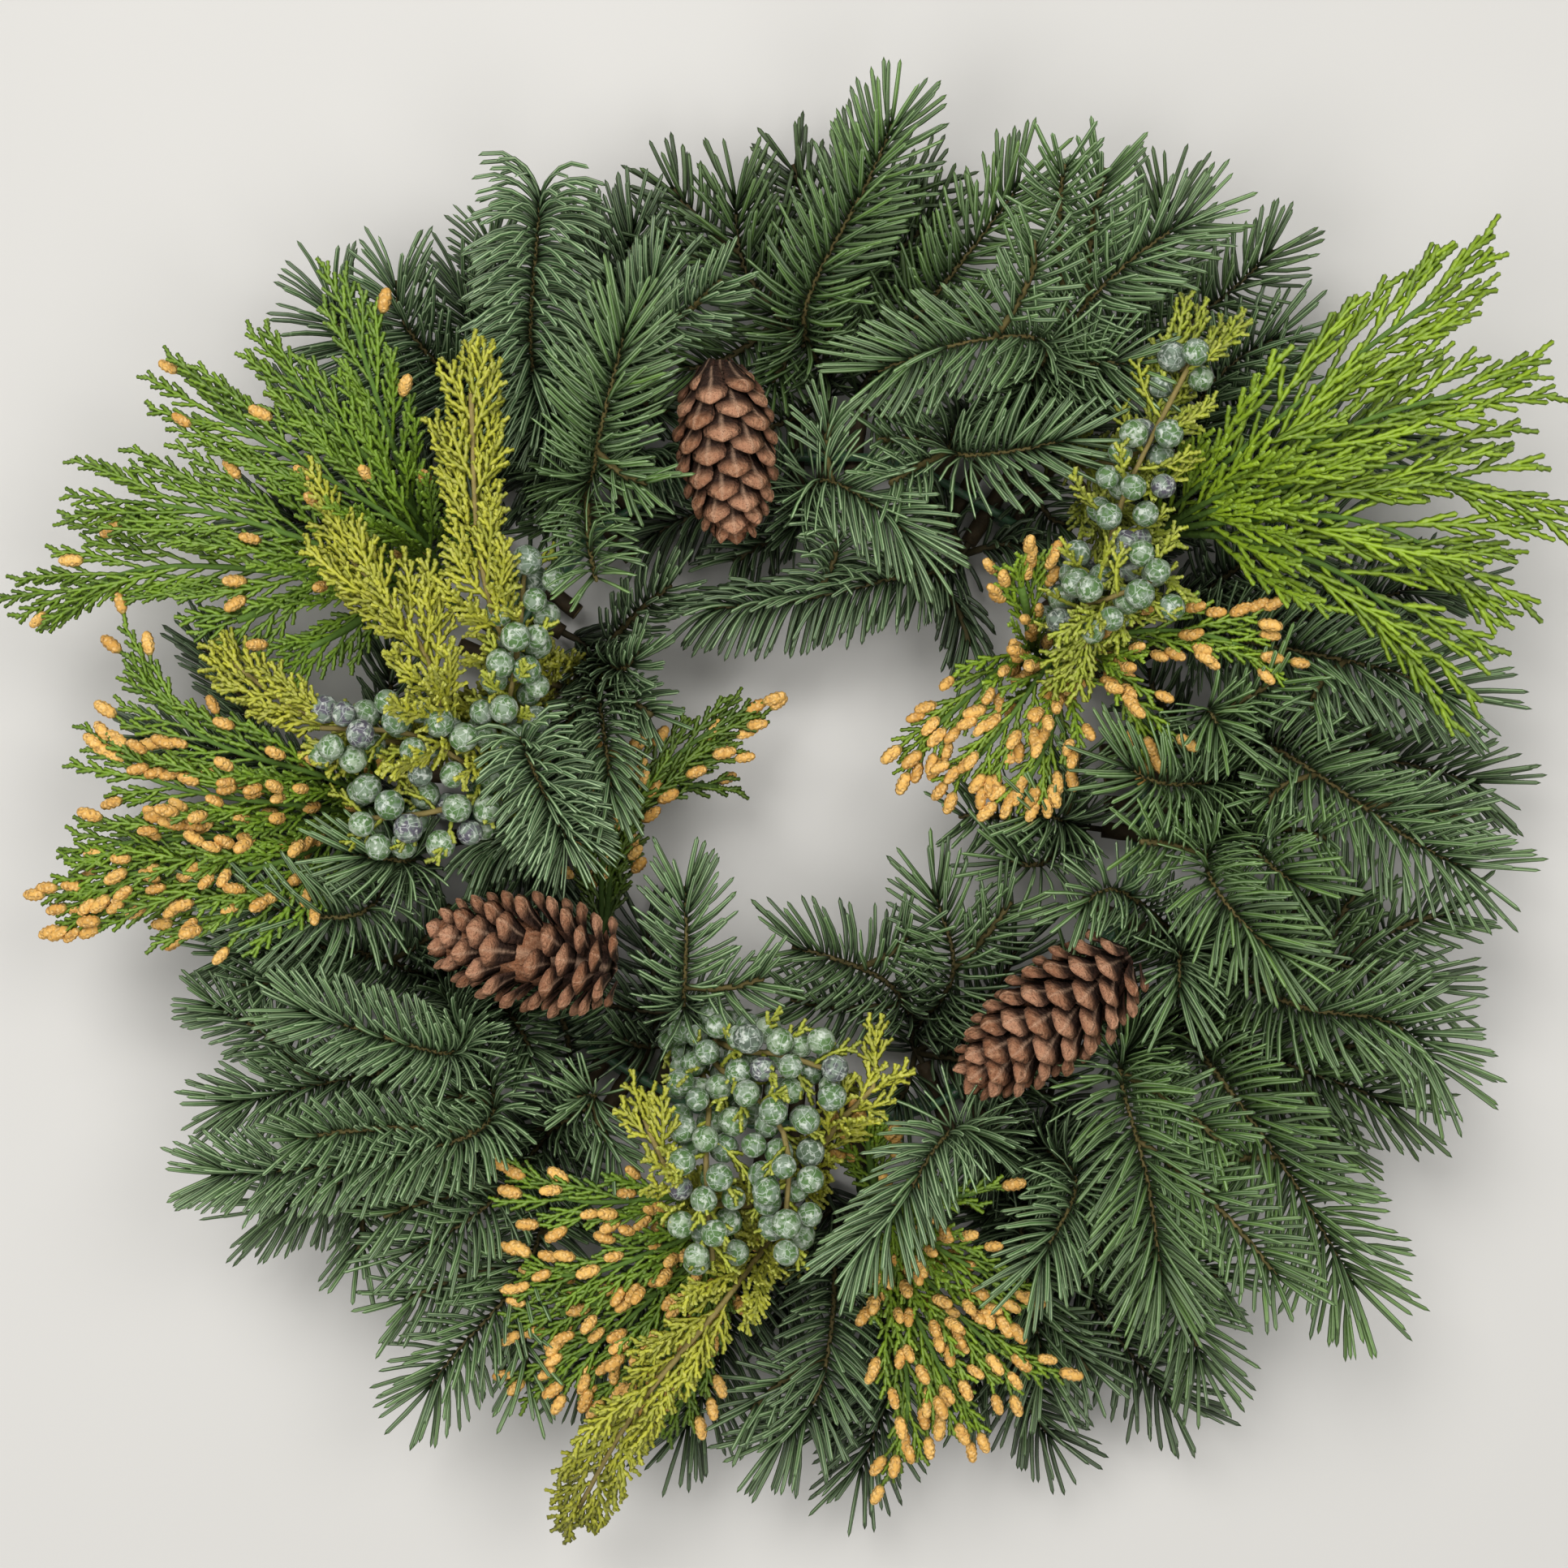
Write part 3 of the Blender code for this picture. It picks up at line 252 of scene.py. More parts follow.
# A scale starts narrow, widens to its end and steps in again. The twig thins out and closes at its tip.
SCALE_START, SCALE_END = 0.04, 0.80
SCALE_NECK, SCALE_BELLY, TWIG_END = 0.72, 1.15, 0.35
TWIG_TAPER = ((0, 0.7, 1.0), (1.0, 0.95, 0.75))
# How far twigs bend back to the way of what they grow on, and droop
TWIG_BEND, SMALL_BEND = 0.30, 0.22
TWIG_DROOP, TIP_DROOP = (0, 0, -0.04), (0.0, 0.0, -0.05)
# Two twigs in five are longer and lean further forward
LONG_TWIGS = (5, 2)
LONG_STRETCH = 0.35
LONG_LEAN = 7
TIP_TWIG_LEAN = 8
TWIG_LENGTHS = ((0, 0.5, 1), (0.85, 1.0, 0.70))


def ferny(fresh, pitch=0.0036, stretch=1.0, half_width=0.00076,
          small_pitch=0.0027, angle=27, longest=0.0085, shortest=0.0040):
    """A flat cedar spray."""
    body = Body(half_width * 0.95, half_width * 0.62, 9)
    small = Small(small_pitch, 0.16, angle, longest, shortest, 0.15, Body(half_width, half_width * 0.60, 3))
    return Spray(pitch, 0.24, 33, 0.12, stretch, fresh, body, (small,))


def bushy(fresh):
    """A round juniper spray."""
    small = Small(0.0021, 0.10, 36, 0.0105, 0.0045, 1.0, Body(0.00084, 0.00070, 3))
    least = Small(0.0024, 0.20, 34, 0.0045, 0.0030, 1.0, Body(0.00076, 0.00064, 2))
    return Spray(0.0042, 0.14, 40, 0.9, (0.80, 1.40), fresh, Body(0.00082, 0.00070, 8), (small, least))


def berried(stretch):
    """The twigs among berries."""
    small = Small(0.0022, 0.3, 40, 0.0065, 0.0035, 1.0, Body(0.00080, 0.00068, 3))
    return Spray(0.0052, 0.30, 75, 1.3, stretch, 0.40, Body(0.00078, 0.00068, 6), (small,))


SPRAYS = {
    "cedar_spray_upper_left": ferny(0.32),
    "cedar_spray_upper_right": ferny(0.90, 0.0058, 1.50, 0.00098, 0.0046, 19, 0.0150, 0.0075),
    "cedar_spray_lower_left": ferny(0.32),
    "cedar_spray_lower_left_tip": ferny(0.32),
    "cedar_spray_lower_right": ferny(0.55),
    "cedar_spray_inner_left": ferny(0.32),
    "cedar_spray_inner_right": ferny(0.65),
    "juniper_spray_left": bushy(0.62),
    "juniper_spray_lower": bushy(0.62),
    "juniper_spray_right": bushy(0.30),
    "juniper_berries_left": berried(1.9),
    "juniper_berries_lower": berried(1.9),
    "juniper_berries_right": berried(2.6),
}

# Pollen cones sit on the ends of the smallest twigs
CATKIN_LENGTH = 0.0072
CATKIN_RADIUS = 0.0018
CATKIN_SUNK = 0.0006
CATKIN_RINGS, CATKIN_SIDES = 10, 6
CATKIN_RIPPLE = 0.09

# Berries, tried at steps along the shoots from a share of their length on, and the share of places berried
BERRY_RADIUS = 0.0040
BERRY_RINGS, BERRY_SIDES = 9, 12
BERRY_FIRST = 0.30
BERRY_STEP = 0.0018
BERRY_TRIES = 5
BERRY_TURN = 1.1
BERRY_OUT = (0.0050, 0.0096)
# Berries keep apart by this share of their radius, so that some press on each other
BERRY_APART = 1.86
BERRY_LOWEST = 1.5
BERRIED = {"juniper_berries_left": 1.0, "juniper_berries_lower": 1.0, "juniper_berries_right": 0.62}

# Pine cones: the scales' angles from the axis at the cone's base, middle and tip, the number of scales, their
# half width in mm, and the gap in them on the upper side, from and to a share of the axis and so far round
ConeHabit = namedtuple("ConeHabit", "angles scales half_width gap")
CONE_HABITS = {
    "pine_cone_top": ConeHabit((40, 22, 14), 58, 5.6, None),
    "pine_cone_left": ConeHabit((78, 50, 24), 84, 5.2, (0.42, 0.60, 48)),
    "pine_cone_right": ConeHabit((66, 40, 20), 80, 5.4, None),
}
# A cone's radius along its axis, as a share of its widest, and the core's share of that
CONE_OUTLINE = ((0, 0.08, 0.30, 0.55, 0.80, 0.94, 1.0), (0.62, 0.86, 1.0, 0.98, 0.78, 0.50, 0.26))
CONE_CORE = 0.52
CORE_SHARES = np.linspace(0.03, 0.92, 9)
CONE_SHARES = (0.08, 0.92)
CONE_SWELL = (0.86, 1.0, 1.0, 0.94, 0.80, 0.62)
# Scales crowd towards the base, root at a share of the cone's radius, bend out and back at their ends, and
# are smaller where the cone is slimmer
SCALE_CROWDING = 0.92
SCALE_ROOT = 0.30
SCALE_RECURVE = (0.10, -0.04)
LEAST_SCALE, SCALE_GAIN = 0.45, 0.55
SCALE_LENGTHS = (0.004, 0.012)
SCALE_SHARES = np.array((0.0, 0.35, 0.62, 0.80, 0.92, 0.98, 1.0))
SCALE_WIDTHS = np.array((0.40, 0.72, 0.98, 0.92, 0.50, 0.20, 0.05))
SCALE_DEPTHS = np.array((0.09, 0.14, 0.26, 0.40, 0.30, 0.14, 0.04))

# Cross-sections, as shares of half the width and thickness: a leaf with two edges and a keel, a cone's scale
KEELED = np.array(((1.0, -0.45), (0.0, 1.0), (-1.0, -0.45)))
RIDGED = np.array(((1, 0), (0.5, 0.42), (0, 1), (-0.5, 0.42), (-1, 0), (-0.5, -0.5), (0, -0.6), (0.5, -0.5)))
# Ways across a tube's thickness
UPRIGHT, NEARLY_UPRIGHT, SLANTED = (0.0, 0.0, 1.0), (0.001, 0.002, 1.0), (0.3, 0.7, 0.05)
# What each point of a mesh tells its material: how far along its tube it is, how far across, and two shades
VALUES = ("along", "across", "tint", "fresh")

# The floor, and the camera, which looks straight down from most of a metre above the ring
FLOOR_LIGHT, FLOOR_DARK = (0.560, 0.550, 0.535), (0.525, 0.516, 0.500)
FLOOR_SIZE = 6.0
CAMERA_OVER = (0.0043, 0.0091)
CAMERA_HEIGHT = 0.90
CAMERA_LENS = 67.4
SENSOR_WIDTH = 36.0
# Soft boxes, each at an angle round the ring and with its power, high enough to light the open middle
SOFT_BOXES = ((120, 19.0), (30, 10.0), (-60, 8.0), (-150, 10.0))
SOFT_BOX_OUT, SOFT_BOX_HEIGHT, SOFT_BOX_SIZE = 0.85, 1.6, 0.9
SOFT_BOX_COLOUR = (1.0, 0.99, 0.97)
SKY_COLOUR, SKY_STRENGTH = (0.99, 1.0, 0.96, 1.0), 0.22

# A shoot passes its points and ends at the last, where its needles' tips are. needle is their length in mm
# and forward the angle between a needle and the shoot.
Shoot = namedtuple("Shoot", "points needle forward")
# A bough lies in one slot of one clamp and faces "out" or "in". Its shoots fork under the clamp. fruit is
# the share of its twigs that end in a pollen cone or a berry.
Bough = namedtuple("Bough", "name kind clamp slot facing shoots fruit", defaults=(0.0,))
Cone = namedtuple("Cone", "name base tip radius pick_angle")


def shoot(*points, needle=21, forward=None):
    return Shoot(points, needle, forward)


def fir(number, clamp, slot, facing, *shoots):
    return Bough(f"fir_bough_{number:02d}", "fir", clamp, slot, facing, shoots)


# Clamps are numbered counterclockwise from +X, 30 degrees apart
BOUGHS = (
    fir(1, 3, 5, "out",
        shoot((-2, 140, 44), (18, 179, 56), (28, 205, 58), needle=22),
        shoot((8, 160, 24), (20, 200, 22)),
        shoot((-20, 156, 28), (-22, 190, 30))),
    fir(2, 3, 4, "out", shoot((39, 148, 46), (54, 167, 50), (68, 187, 50))),
    fir(3, 3, 6, "in", shoot((2, 90, 52), (20, 80, 62), (38, 62, 58))),
    fir(4, 2, 6, "out",
        shoot((76, 136, 66), (94, 153, 74), (118, 168, 72), needle=20),
        shoot((66, 126, 72), (42, 125, 82), (6, 113, 80)),
        shoot((80, 122, 64), (104, 117, 66))),
    fir(5, 2, 7, "out", shoot((40, 98, 52), (59, 97, 66), (86, 104, 64))),
    fir(6, 2, 5, "in", shoot((26, 63, 36), (-5, 56, 38), (-42, 53, 34), needle=18, forward=70)),
    fir(7, 2, 1, "out",
        shoot((100, 150, 26), (107, 188, 28)),
        shoot((122, 146, 34), (143, 168, 34), needle=18)),
    fir(8, 1, 3, "out",
        shoot((127, 96, 20), (164, 104, 24), (190, 108, 24), needle=19),
        shoot((118, 120, 34), (150, 140, 38))),
    fir(9, 1, 1, "out",
        shoot((141, 51, 18), (179, 60, 22), (204, 62, 22), needle=19),
        shoot((136, 72, 26), (168, 82, 28))),
    fir(10, 1, 4, "out", shoot((132, 43, 38), (172, 34, 44), (200, 20, 42), needle=23)),
    fir(11, 0, 3, "out",
        shoot((150, 14, 22), (192, 4, 28), (210, -5, 28)),
        shoot((140, 10, 42), (176, -16, 54), (203, -28, 50), needle=23)),
    fir(12, 0, 6, "out",
        shoot((112, 2, 50), (94, 4, 66), (80, 18, 62)),
        shoot((114, 24, 54), (122, 6, 62), needle=18)),
    fir(13, 0, 5, "out",
        shoot((112, -22, 66), (126, -42, 76), (144, -49, 72)),
        shoot((132, -22, 60), (150, -33, 62))),
    fir(14, 0, 4, "in", shoot((72, -8, 44), (54, -4, 58), needle=18), shoot((66, -22, 40), (45, -14, 44))),
    fir(15, 11, 7, "out",
        shoot((106, -48, 54), (106, -72, 58)),
        shoot((86, -28, 60), (72, -46, 70), needle=18)),
    fir(16, 11, 3, "out",
        shoot((160, -52, 34), (194, -64, 36), needle=23),
        shoot((140, -62, 48), (170, -68, 52), (188, -92, 48), needle=23)),
    fir(17, 11, 1, "out",
        shoot((141, -81, 28), (166, -90, 30), (186, -99, 28)),
        shoot((119, -84, 48), (139, -113, 56), (164, -156, 50), needle=25)),
    fir(18, 11, 4, "out", shoot((88, -80, 60), (94, -110, 78), (100, -153, 72), needle=25)),
    fir(19, 10, 6, "out", shoot((76, -112, 56), (66, -130, 68), (56, -146, 64))),
    fir(20, 10, 7, "out", shoot((106, -146, 40), (118, -180, 38))),
    fir(21, 10, 1, "out",
        shoot((89, -160, 18), (118, -193, 20)),
        shoot((62, -176, 18), (80, -203, 18), needle=19),
        shoot((64, -146, 32), (72, -186, 36))),
    fir(22, 10, 5, "out", shoot((40, -96, 66), (22, -118, 82), (4, -135, 78), forward=62)),
    fir(23, 10, 4, "in",
        shoot((42, -52, 38), (31, -17, 44), needle=20),
        shoot((22, -56, 34), (0, -47, 40), (-18, -44, 40), needle=20, forward=64)),
    fir(24, 9, 2, "out",
        shoot((24, -165, 22), (19, -192, 24), (8, -214, 24)),
        shoot((6, -158, 36), (-1, -182, 40), (-22, -198, 36))),
    fir(25, 9, 0, "out",
        shoot((-26, -165, 20), (-44, -203, 22)),
        shoot((-50, -152, 18), (-77, -184, 20))),
    fir(26, 8, 0, "out",
        shoot((-82, -137, 38), (-104, -164, 46), (-119, -184, 42))),
    fir(27, 8, 4, "out",
        shoot((-96, -122, 44), (-128, -140, 46)),
        shoot((-130, -112, 34), (-171, -130, 34)),
        shoot((-62, -88, 52), (-78, -90, 60), needle=18)),
    fir(28, 8, 6, "in", shoot((-37, -62, 48), (-36, -41, 58), (-37, -16, 58), needle=18)),
    fir(29, 7, 6, "out",
        shoot((-92, -94, 58), (-129, -105, 68), (-184, -110, 62)),
        shoot((-110, -78, 42), (-148, -86, 48), (-183, -94, 44))),
    fir(30, 7, 5, "out",
        shoot((-100, -74, 64), (-125, -68, 72), (-158, -57, 66)),
        shoot((-141, -46, 36), (-184, -49, 38))),
    fir(31, 6, 2, "out",
        shoot((-165, -18, 22), (-206, -20, 24), needle=19),
        shoot((-160, 8, 24), (-198, 16, 30), (-208, 20, 32), needle=17)),
    fir(32, 6, 7, "out",
        shoot((-132, -36, 54), (-178, -28, 60)),
        shoot((-116, -20, 58), (-144, -16, 64), needle=19)),
    fir(33, 6, 5, "in", shoot((-70, -14, 58), (-80, 10, 76), (-84, 26, 80), needle=18, forward=100)),
    fir(34, 5, 5, "in",
        shoot((-60, 16, 50), (-56, -14, 62), needle=18, forward=60),
        shoot((-54, 36, 44), (-46, 50, 48), needle=17)),
    fir(35, 5, 0, "out",
        shoot((-140, 105, 16), (-168, 120, 18)),
        shoot((-148, 80, 16), (-174, 88, 16))),
    fir(36, 4, 3, "out",
        shoot((-134, 130, 32), (-142, 158, 36)),
        shoot((-100, 134, 26), (-104, 162, 28)),
        shoot((-118, 135, 40), (-120, 162, 44))),
    fir(37, 4, 6, "out", shoot((-80, 119, 54), (-78, 159, 66), (-75, 184, 66), needle=22, forward=100)),
    fir(38, 4, 1, "out",
        shoot((-54, 156, 28), (-50, 181, 30)),
        shoot((-52, 132, 46), (-39, 162, 50))),
    fir(39, 4, 7, "out", shoot((-64, 88, 58), (-59, 103, 78), (-48, 144, 84), needle=22)),
    Bough("cedar_spray_upper_left", "cedar", 5, 6, "out", (
        shoot((-112, 72, 58), (-150, 96, 72), (-190, 118, 68), needle=40),
        shoot((-120, 100, 62), (-128, 128, 72), (-131, 147, 70), needle=26),
        shoot((-140, 62, 54), (-190, 64, 58), (-231, 50, 50), needle=34)), 0.04),
    Bough("cedar_spray_lower_left", "cedar", 6, 6, "out", (
        shoot((-140, 4, 52), (-175, 16, 62), (-196, 40, 60), needle=28),
        shoot((-160, -12, 58), (-190, -14, 60), (-216, -18, 56), needle=28),
        shoot((-150, -30, 60), (-185, -32, 60), (-218, -34, 54), needle=24)), 0.16),
    Bough("cedar_spray_upper_right", "cedar", 1, 7, "out", (
        shoot((116, 92, 64), (150, 120, 78), (186, 147, 76), needle=26),
        shoot((120, 82, 60), (160, 92, 70), (206, 82, 70), needle=26),
        shoot((124, 72, 56), (154, 60, 64), (184, 32, 62), needle=30))),
    Bough("cedar_spray_inner_right", "cedar", 1, 5, "in", (
        shoot((62, 42, 46), (42, 24, 52), (26, 10, 48), needle=20),
        shoot((74, 34, 50), (66, 10, 56), (56, -6, 52), needle=20),
        shoot((92, 46, 52), (116, 44, 60), (134, 36, 58), needle=20)), 0.28),
    Bough("cedar_spray_lower_left_tip", "cedar", 9, 4, "out", (
        shoot((-40, -118, 46), (-66, -118, 56), (-88, -110, 54), needle=22),
        shoot((-36, -138, 44), (-62, -160, 50), (-82, -170, 46), needle=26),
        shoot((-30, -150, 40), (-36, -172, 46), (-42, -190, 42), needle=20)), 0.22),
    Bough("cedar_spray_lower_right", "cedar", 9, 7, "out", (
        shoot((32, -140, 46), (50, -158, 56), (66, -168, 52), needle=24),
        shoot((24, -150, 44), (28, -176, 50), (24, -198, 46), needle=22),
        shoot((30, -118, 50), (44, -116, 58), (54, -112, 56), needle=14)), 0.22),
    Bough("cedar_spray_inner_left", "cedar", 7, 7, "in", (
        shoot((-60, -14, 34), (-40, 10, 36), (-16, 26, 36), needle=24),
        shoot((-52, -8, 32), (-34, 2, 30), (-20, -2, 28), needle=14)), 0.16),
    Bough("juniper_spray_left", "juniper", 5, 7, "in", (
        shoot((-84, 38, 70), (-92, 66, 90), (-95, 122, 88), needle=22),
        shoot((-100, 18, 66), (-110, 42, 84), (-138, 76, 82), needle=26),
        shoot((-118, 14, 62), (-146, 24, 72), (-172, 42, 68), needle=18))),
    Bough("juniper_spray_lower", "juniper", 9, 5, "out", (
        shoot((-22, -142, 60), (-50, -176, 64), (-72, -217, 40), needle=20),
        shoot((-34, -116, 62), (-44, -100, 74), (-50, -84, 72), needle=16),
        shoot((6, -96, 66), (18, -82, 74), (14, -70, 70), needle=16))),
    Bough("juniper_spray_right", "juniper", 2, 4, "out", (
        shoot((92, 96, 60), (104, 118, 70), (118, 134, 68), needle=20),
        shoot((92, 66, 58), (80, 48, 70), (70, 30, 66), needle=22))),
    Bough("juniper_berries_left", "berry", 6, 4, "in", (
        shoot((-88, 14, 58), (-84, 34, 76), (-80, 66, 80), needle=9),
        shoot((-94, 6, 62), (-112, 16, 76), (-140, 18, 74), needle=9),
        shoot((-92, 0, 60), (-108, -6, 72), (-130, -8, 68), needle=9)), 1.0),
    Bough("juniper_berries_lower", "berry", 8, 5, "in", (
        shoot((-26, -80, 56), (-8, -96, 76), (-8, -128, 78), needle=9),
        shoot((-22, -74, 58), (-10, -74, 72), (10, -80, 74), needle=9),
        shoot((-30, -86, 58), (-30, -104, 74), (-28, -134, 72), needle=9)), 1.0),
    Bough("juniper_berries_right", "berry", 1, 6, "in", (
        shoot((82, 60, 56), (88, 84, 74), (108, 124, 76), needle=9),
        shoot((78, 52, 58), (86, 54, 76), (100, 62, 78), needle=9)), 1.0),
)

CONES = (
    Cone("pine_cone_top", (-26, 116, 66), (-22, 70, 62), 14.5, 105.0),
    Cone("pine_cone_left", (-56, -50, 70), (-110, -40, 66), 17.5, 224.0),
    Cone("pine_cone_right", (88, -48, 70), (42, -84, 64), 16.5, 315.0),
)


def polar(radius, degrees, height):
    angle = math.radians(degrees)
    return np.array((radius * math.cos(angle), radius * math.sin(angle), height))


def unit(vector):
    return vector / (np.linalg.norm(vector) + 1e-12)


def lengths_along(points):
    return np.concatenate([[0.0], np.cumsum(np.linalg.norm(np.diff(points, axis=0), axis=1))])


def at_lengths(points, wanted):
    along = lengths_along(points)
    return np.stack([np.interp(wanted, along, points[:, axis]) for axis in range(3)], axis=-1)


def smooth_path(controls, left_off):
    """Points SAMPLE apart on a Catmull-Rom curve through the controls, stopping left_off before its end."""
    ends = [2 * controls[0] - controls[1], *controls, 2 * controls[-1] - controls[-2]]
    fine = []
    for a, b, c, d in zip(ends, ends[1:], ends[2:], ends[3:]):
        for t in np.linspace(0, 1, CURVE_STEPS, endpoint=False):
            bend = (2 * a - 5 * b + 4 * c - d) * t**2 + (3 * b - a - 3 * c + d) * t**3
            fine.append(0.5 * (2 * b + (c - a) * t + bend))
    fine = np.array([*fine, controls[-1]])
    total = lengths_along(fine)[-1] - left_off
    return at_lengths(fine, np.linspace(0, total, max(4, round(total / SAMPLE) + 1)))


class Stem:
    """The centre line of one shoot, from inside its bough's cut stem or from its fork off the parent."""

    def __init__(self, bough, spec, path, number, parent=None, fork=0.0):
        self.bough, self.spec, self.path, self.number = bough, spec, path, number
        self.parent, self.fork = parent, fork
        self.held = 0.0 if parent else (ROOT_OUTER - ROOT_INNER) * (1 - FORK)
        self.filler = False
        self.fillers = []
        self.total = lengths_along(path)[-1]

    def moved(self, shift):
        self.path = self.path + shift
        self.total = lengths_along(self.path)[-1]

    def follow_parent(self):
        """Brings a side shoot's first stretch back to its fork, once its parent has moved."""
        shift = self.parent.at(self.fork) - self.path[0]
        fade = np.clip(1 - lengths_along(self.path) / ROOT_EASE, 0, 1)
        self.moved(shift * fade[:, None])

    def radius_at(self, along):
        slim = SHOOT_RADIUS[self.bough.kind]
        return np.interp(along, (0.0, NARROWING, self.total), (FORK_RADIUS, slim, TIP_RADIUS))

    def radii(self):
        return self.radius_at(lengths_along(self.path))

    def at(self, along):
        return at_lengths(self.path, along)


def butt_ends(bough):
    """The two ends of the cut stem that a clamp holds, cut end first."""
    degrees = 360 / CLAMP_COUNT * bough.clamp + SLOT_ANGLES[bough.slot % len(SLOT_ANGLES)]
    height = (LOWER_ROW, UPPER_ROW)[bough.slot // len(SLOT_ANGLES)]
    inner, outer = polar(ROOT_INNER, degrees, height), polar(ROOT_OUTER, degrees, height)
    return (inner, outer) if bough.facing == "out" else (outer, inner)


def lay_stems():
    stems = []
    for bough in BOUGHS:
        cut_end, mouth = butt_ends(bough)
        parent = None
        for order, spec in enumerate(bough.shoots):
            points = [np.array(point) * MM for point in spec.points]
            reach = PAST_TIP[bough.kind] * spec.needle * MM
            if parent is None:
                start = [cut_end * (1 - FORK) + mouth * FORK, mouth, mouth + unit(mouth - cut_end) * LEAD]
                parent = Stem(bough, spec, smooth_path(start + points, reach), len(stems))
                stems.append(parent)
                continue
            fork = min(parent.held + LEAD + SIDE_STEP * order, parent.total * SIDE_LATEST)
            path = smooth_path([parent.at(fork), *points], reach)
            stems.append(Stem(bough, spec, path, len(stems), parent, fork))
    return stems


# Rods stand in for pieces where room is measured. owner names the bough whose cut stem a rod is.

Rod = namedtuple("Rod", "start end radius owner", defaults=("",))


def path_rods(points, radii):
    return [Rod(a, b, max(r, s)) for a, b, r, s in zip(points, points[1:], radii, radii[1:])]


def frame_rods():
    angles = np.linspace(0, 360, RING_STEPS + 1)
    ring = [polar(RING_RADIUS, angle, WIRE_HEIGHT) for angle in angles]
    rods = path_rods(ring, [WIRE_RADIUS] * len(ring))
    for clamp in range(CLAMP_COUNT):
        staple = staple_path(clamp)
        rods += path_rods(staple, [STAPLE_RADIUS] * len(staple))
    return rods


def cone_rods(cone):
    base, tip = np.array(cone.base) * MM, np.array(cone.tip) * MM
    points = [base + (tip - base) * share for share in np.linspace(*CONE_SHARES, len(CONE_SWELL))]
    return path_rods(points, [cone.radius * MM * share for share in CONE_SWELL])


def nearest_index(points):
    tree = KDTree(len(points))
    for i, point in enumerate(points):
        tree.insert(point, i)
    tree.balance()
    return tree


def settle(stems, fixed):
    """Bends stems of different boughs clear of each other and of the fixed rods, mostly up and down."""
    marks = []
    for rod in fixed:
        run = rod.end - rod.start
        steps = max(2, round(np.linalg.norm(run) / SAMPLE) + 1)
        marks += [(rod.start + run * share, rod) for share in np.linspace(0, 1, steps)]
    fixed_tree = nearest_index([place for place, rod in marks])
    widest = max(rod.radius for rod in fixed)
    give = np.array((PLAN_GIVE, PLAN_GIVE, 1.0))
    ease = np.concatenate([np.clip((lengths_along(s.path) - s.held) / ROOT_EASE, 0, 1) for s in stems])
    owner = np.concatenate([[s.number] * len(s.path) for s in stems])
    names = [s.bough.name for s in stems]
    for _ in range(SETTLE_ROUNDS):
        where = np.concatenate([s.path for s in stems])
        radii = np.concatenate([s.radii() for s in stems])
        tree = nearest_index(where)
        push = np.zeros_like(where)
        for i, point in enumerate(where):
            if ease[i] == 0:
                continue
            for other, j, distance in tree.find_range(point, 2 * FORK_RADIUS + STEM_ROOM):
                need = radii[i] + radii[j] + STEM_ROOM
                if names[owner[j]] != names[owner[i]] and distance < need:
                    away = (point - np.array(other)) * give + (0, 0, 1e-5 * (owner[i] - owner[j]))
                    push[i] += unit(away) * (need - distance) * PUSH_SHARE
            for other, j, distance in fixed_tree.find_range(point, widest + FORK_RADIUS + STEM_ROOM):
                rod = marks[j][1]
                need = radii[i] + rod.radius + STEM_ROOM * 0.5
                if distance < need and rod.owner != names[owner[i]]:
                    away = unit((point - np.array(other)) * give)
                    push[i] += away * (need - distance) * FIXED_PUSH_SHARE
        first = 0
        for stem in stems:
            count = len(stem.path)
            eased = push[first : first + count] * ease[first : first + count, None]
            own = np.pad(eased, ((SOFTENING, SOFTENING), (0, 0)), mode="edge")
            soft = sum(own[k : k + count] for k in range(2 * SOFTENING + 1)) / (SOFTENING + 1)
            stem.moved(np.clip(soft, -MOST_PUSH, MOST_PUSH) * ease[first : first + count, None])
            low = np.where(ease[first : first + count] > 0, FLOOR_ROOM + 2 * FORK_RADIUS, 0)
            stem.path[:, 2] = np.maximum(stem.path[:, 2], low)
            first += count
        for stem in stems:
            if stem.parent:
                stem.follow_parent()


def staple_path(clamp):
    middle = 360 / CLAMP_COUNT * clamp
    inset = math.degrees(STAPLE_BEND / RING_RADIUS)
    path = []
    for side in (-1, 1):
        leg = [
            polar(RING_RADIUS, middle + side * CLAMP_SPREAD, WIRE_HEIGHT),
            polar(RING_RADIUS, middle + side * CLAMP_SPREAD, STAPLE_HEIGHT - STAPLE_BEND),
            polar(RING_RADIUS, middle + side * (CLAMP_SPREAD - inset), STAPLE_HEIGHT),
        ]
        path = leg if side < 0 else path + leg[::-1]
    return path


# Meshes


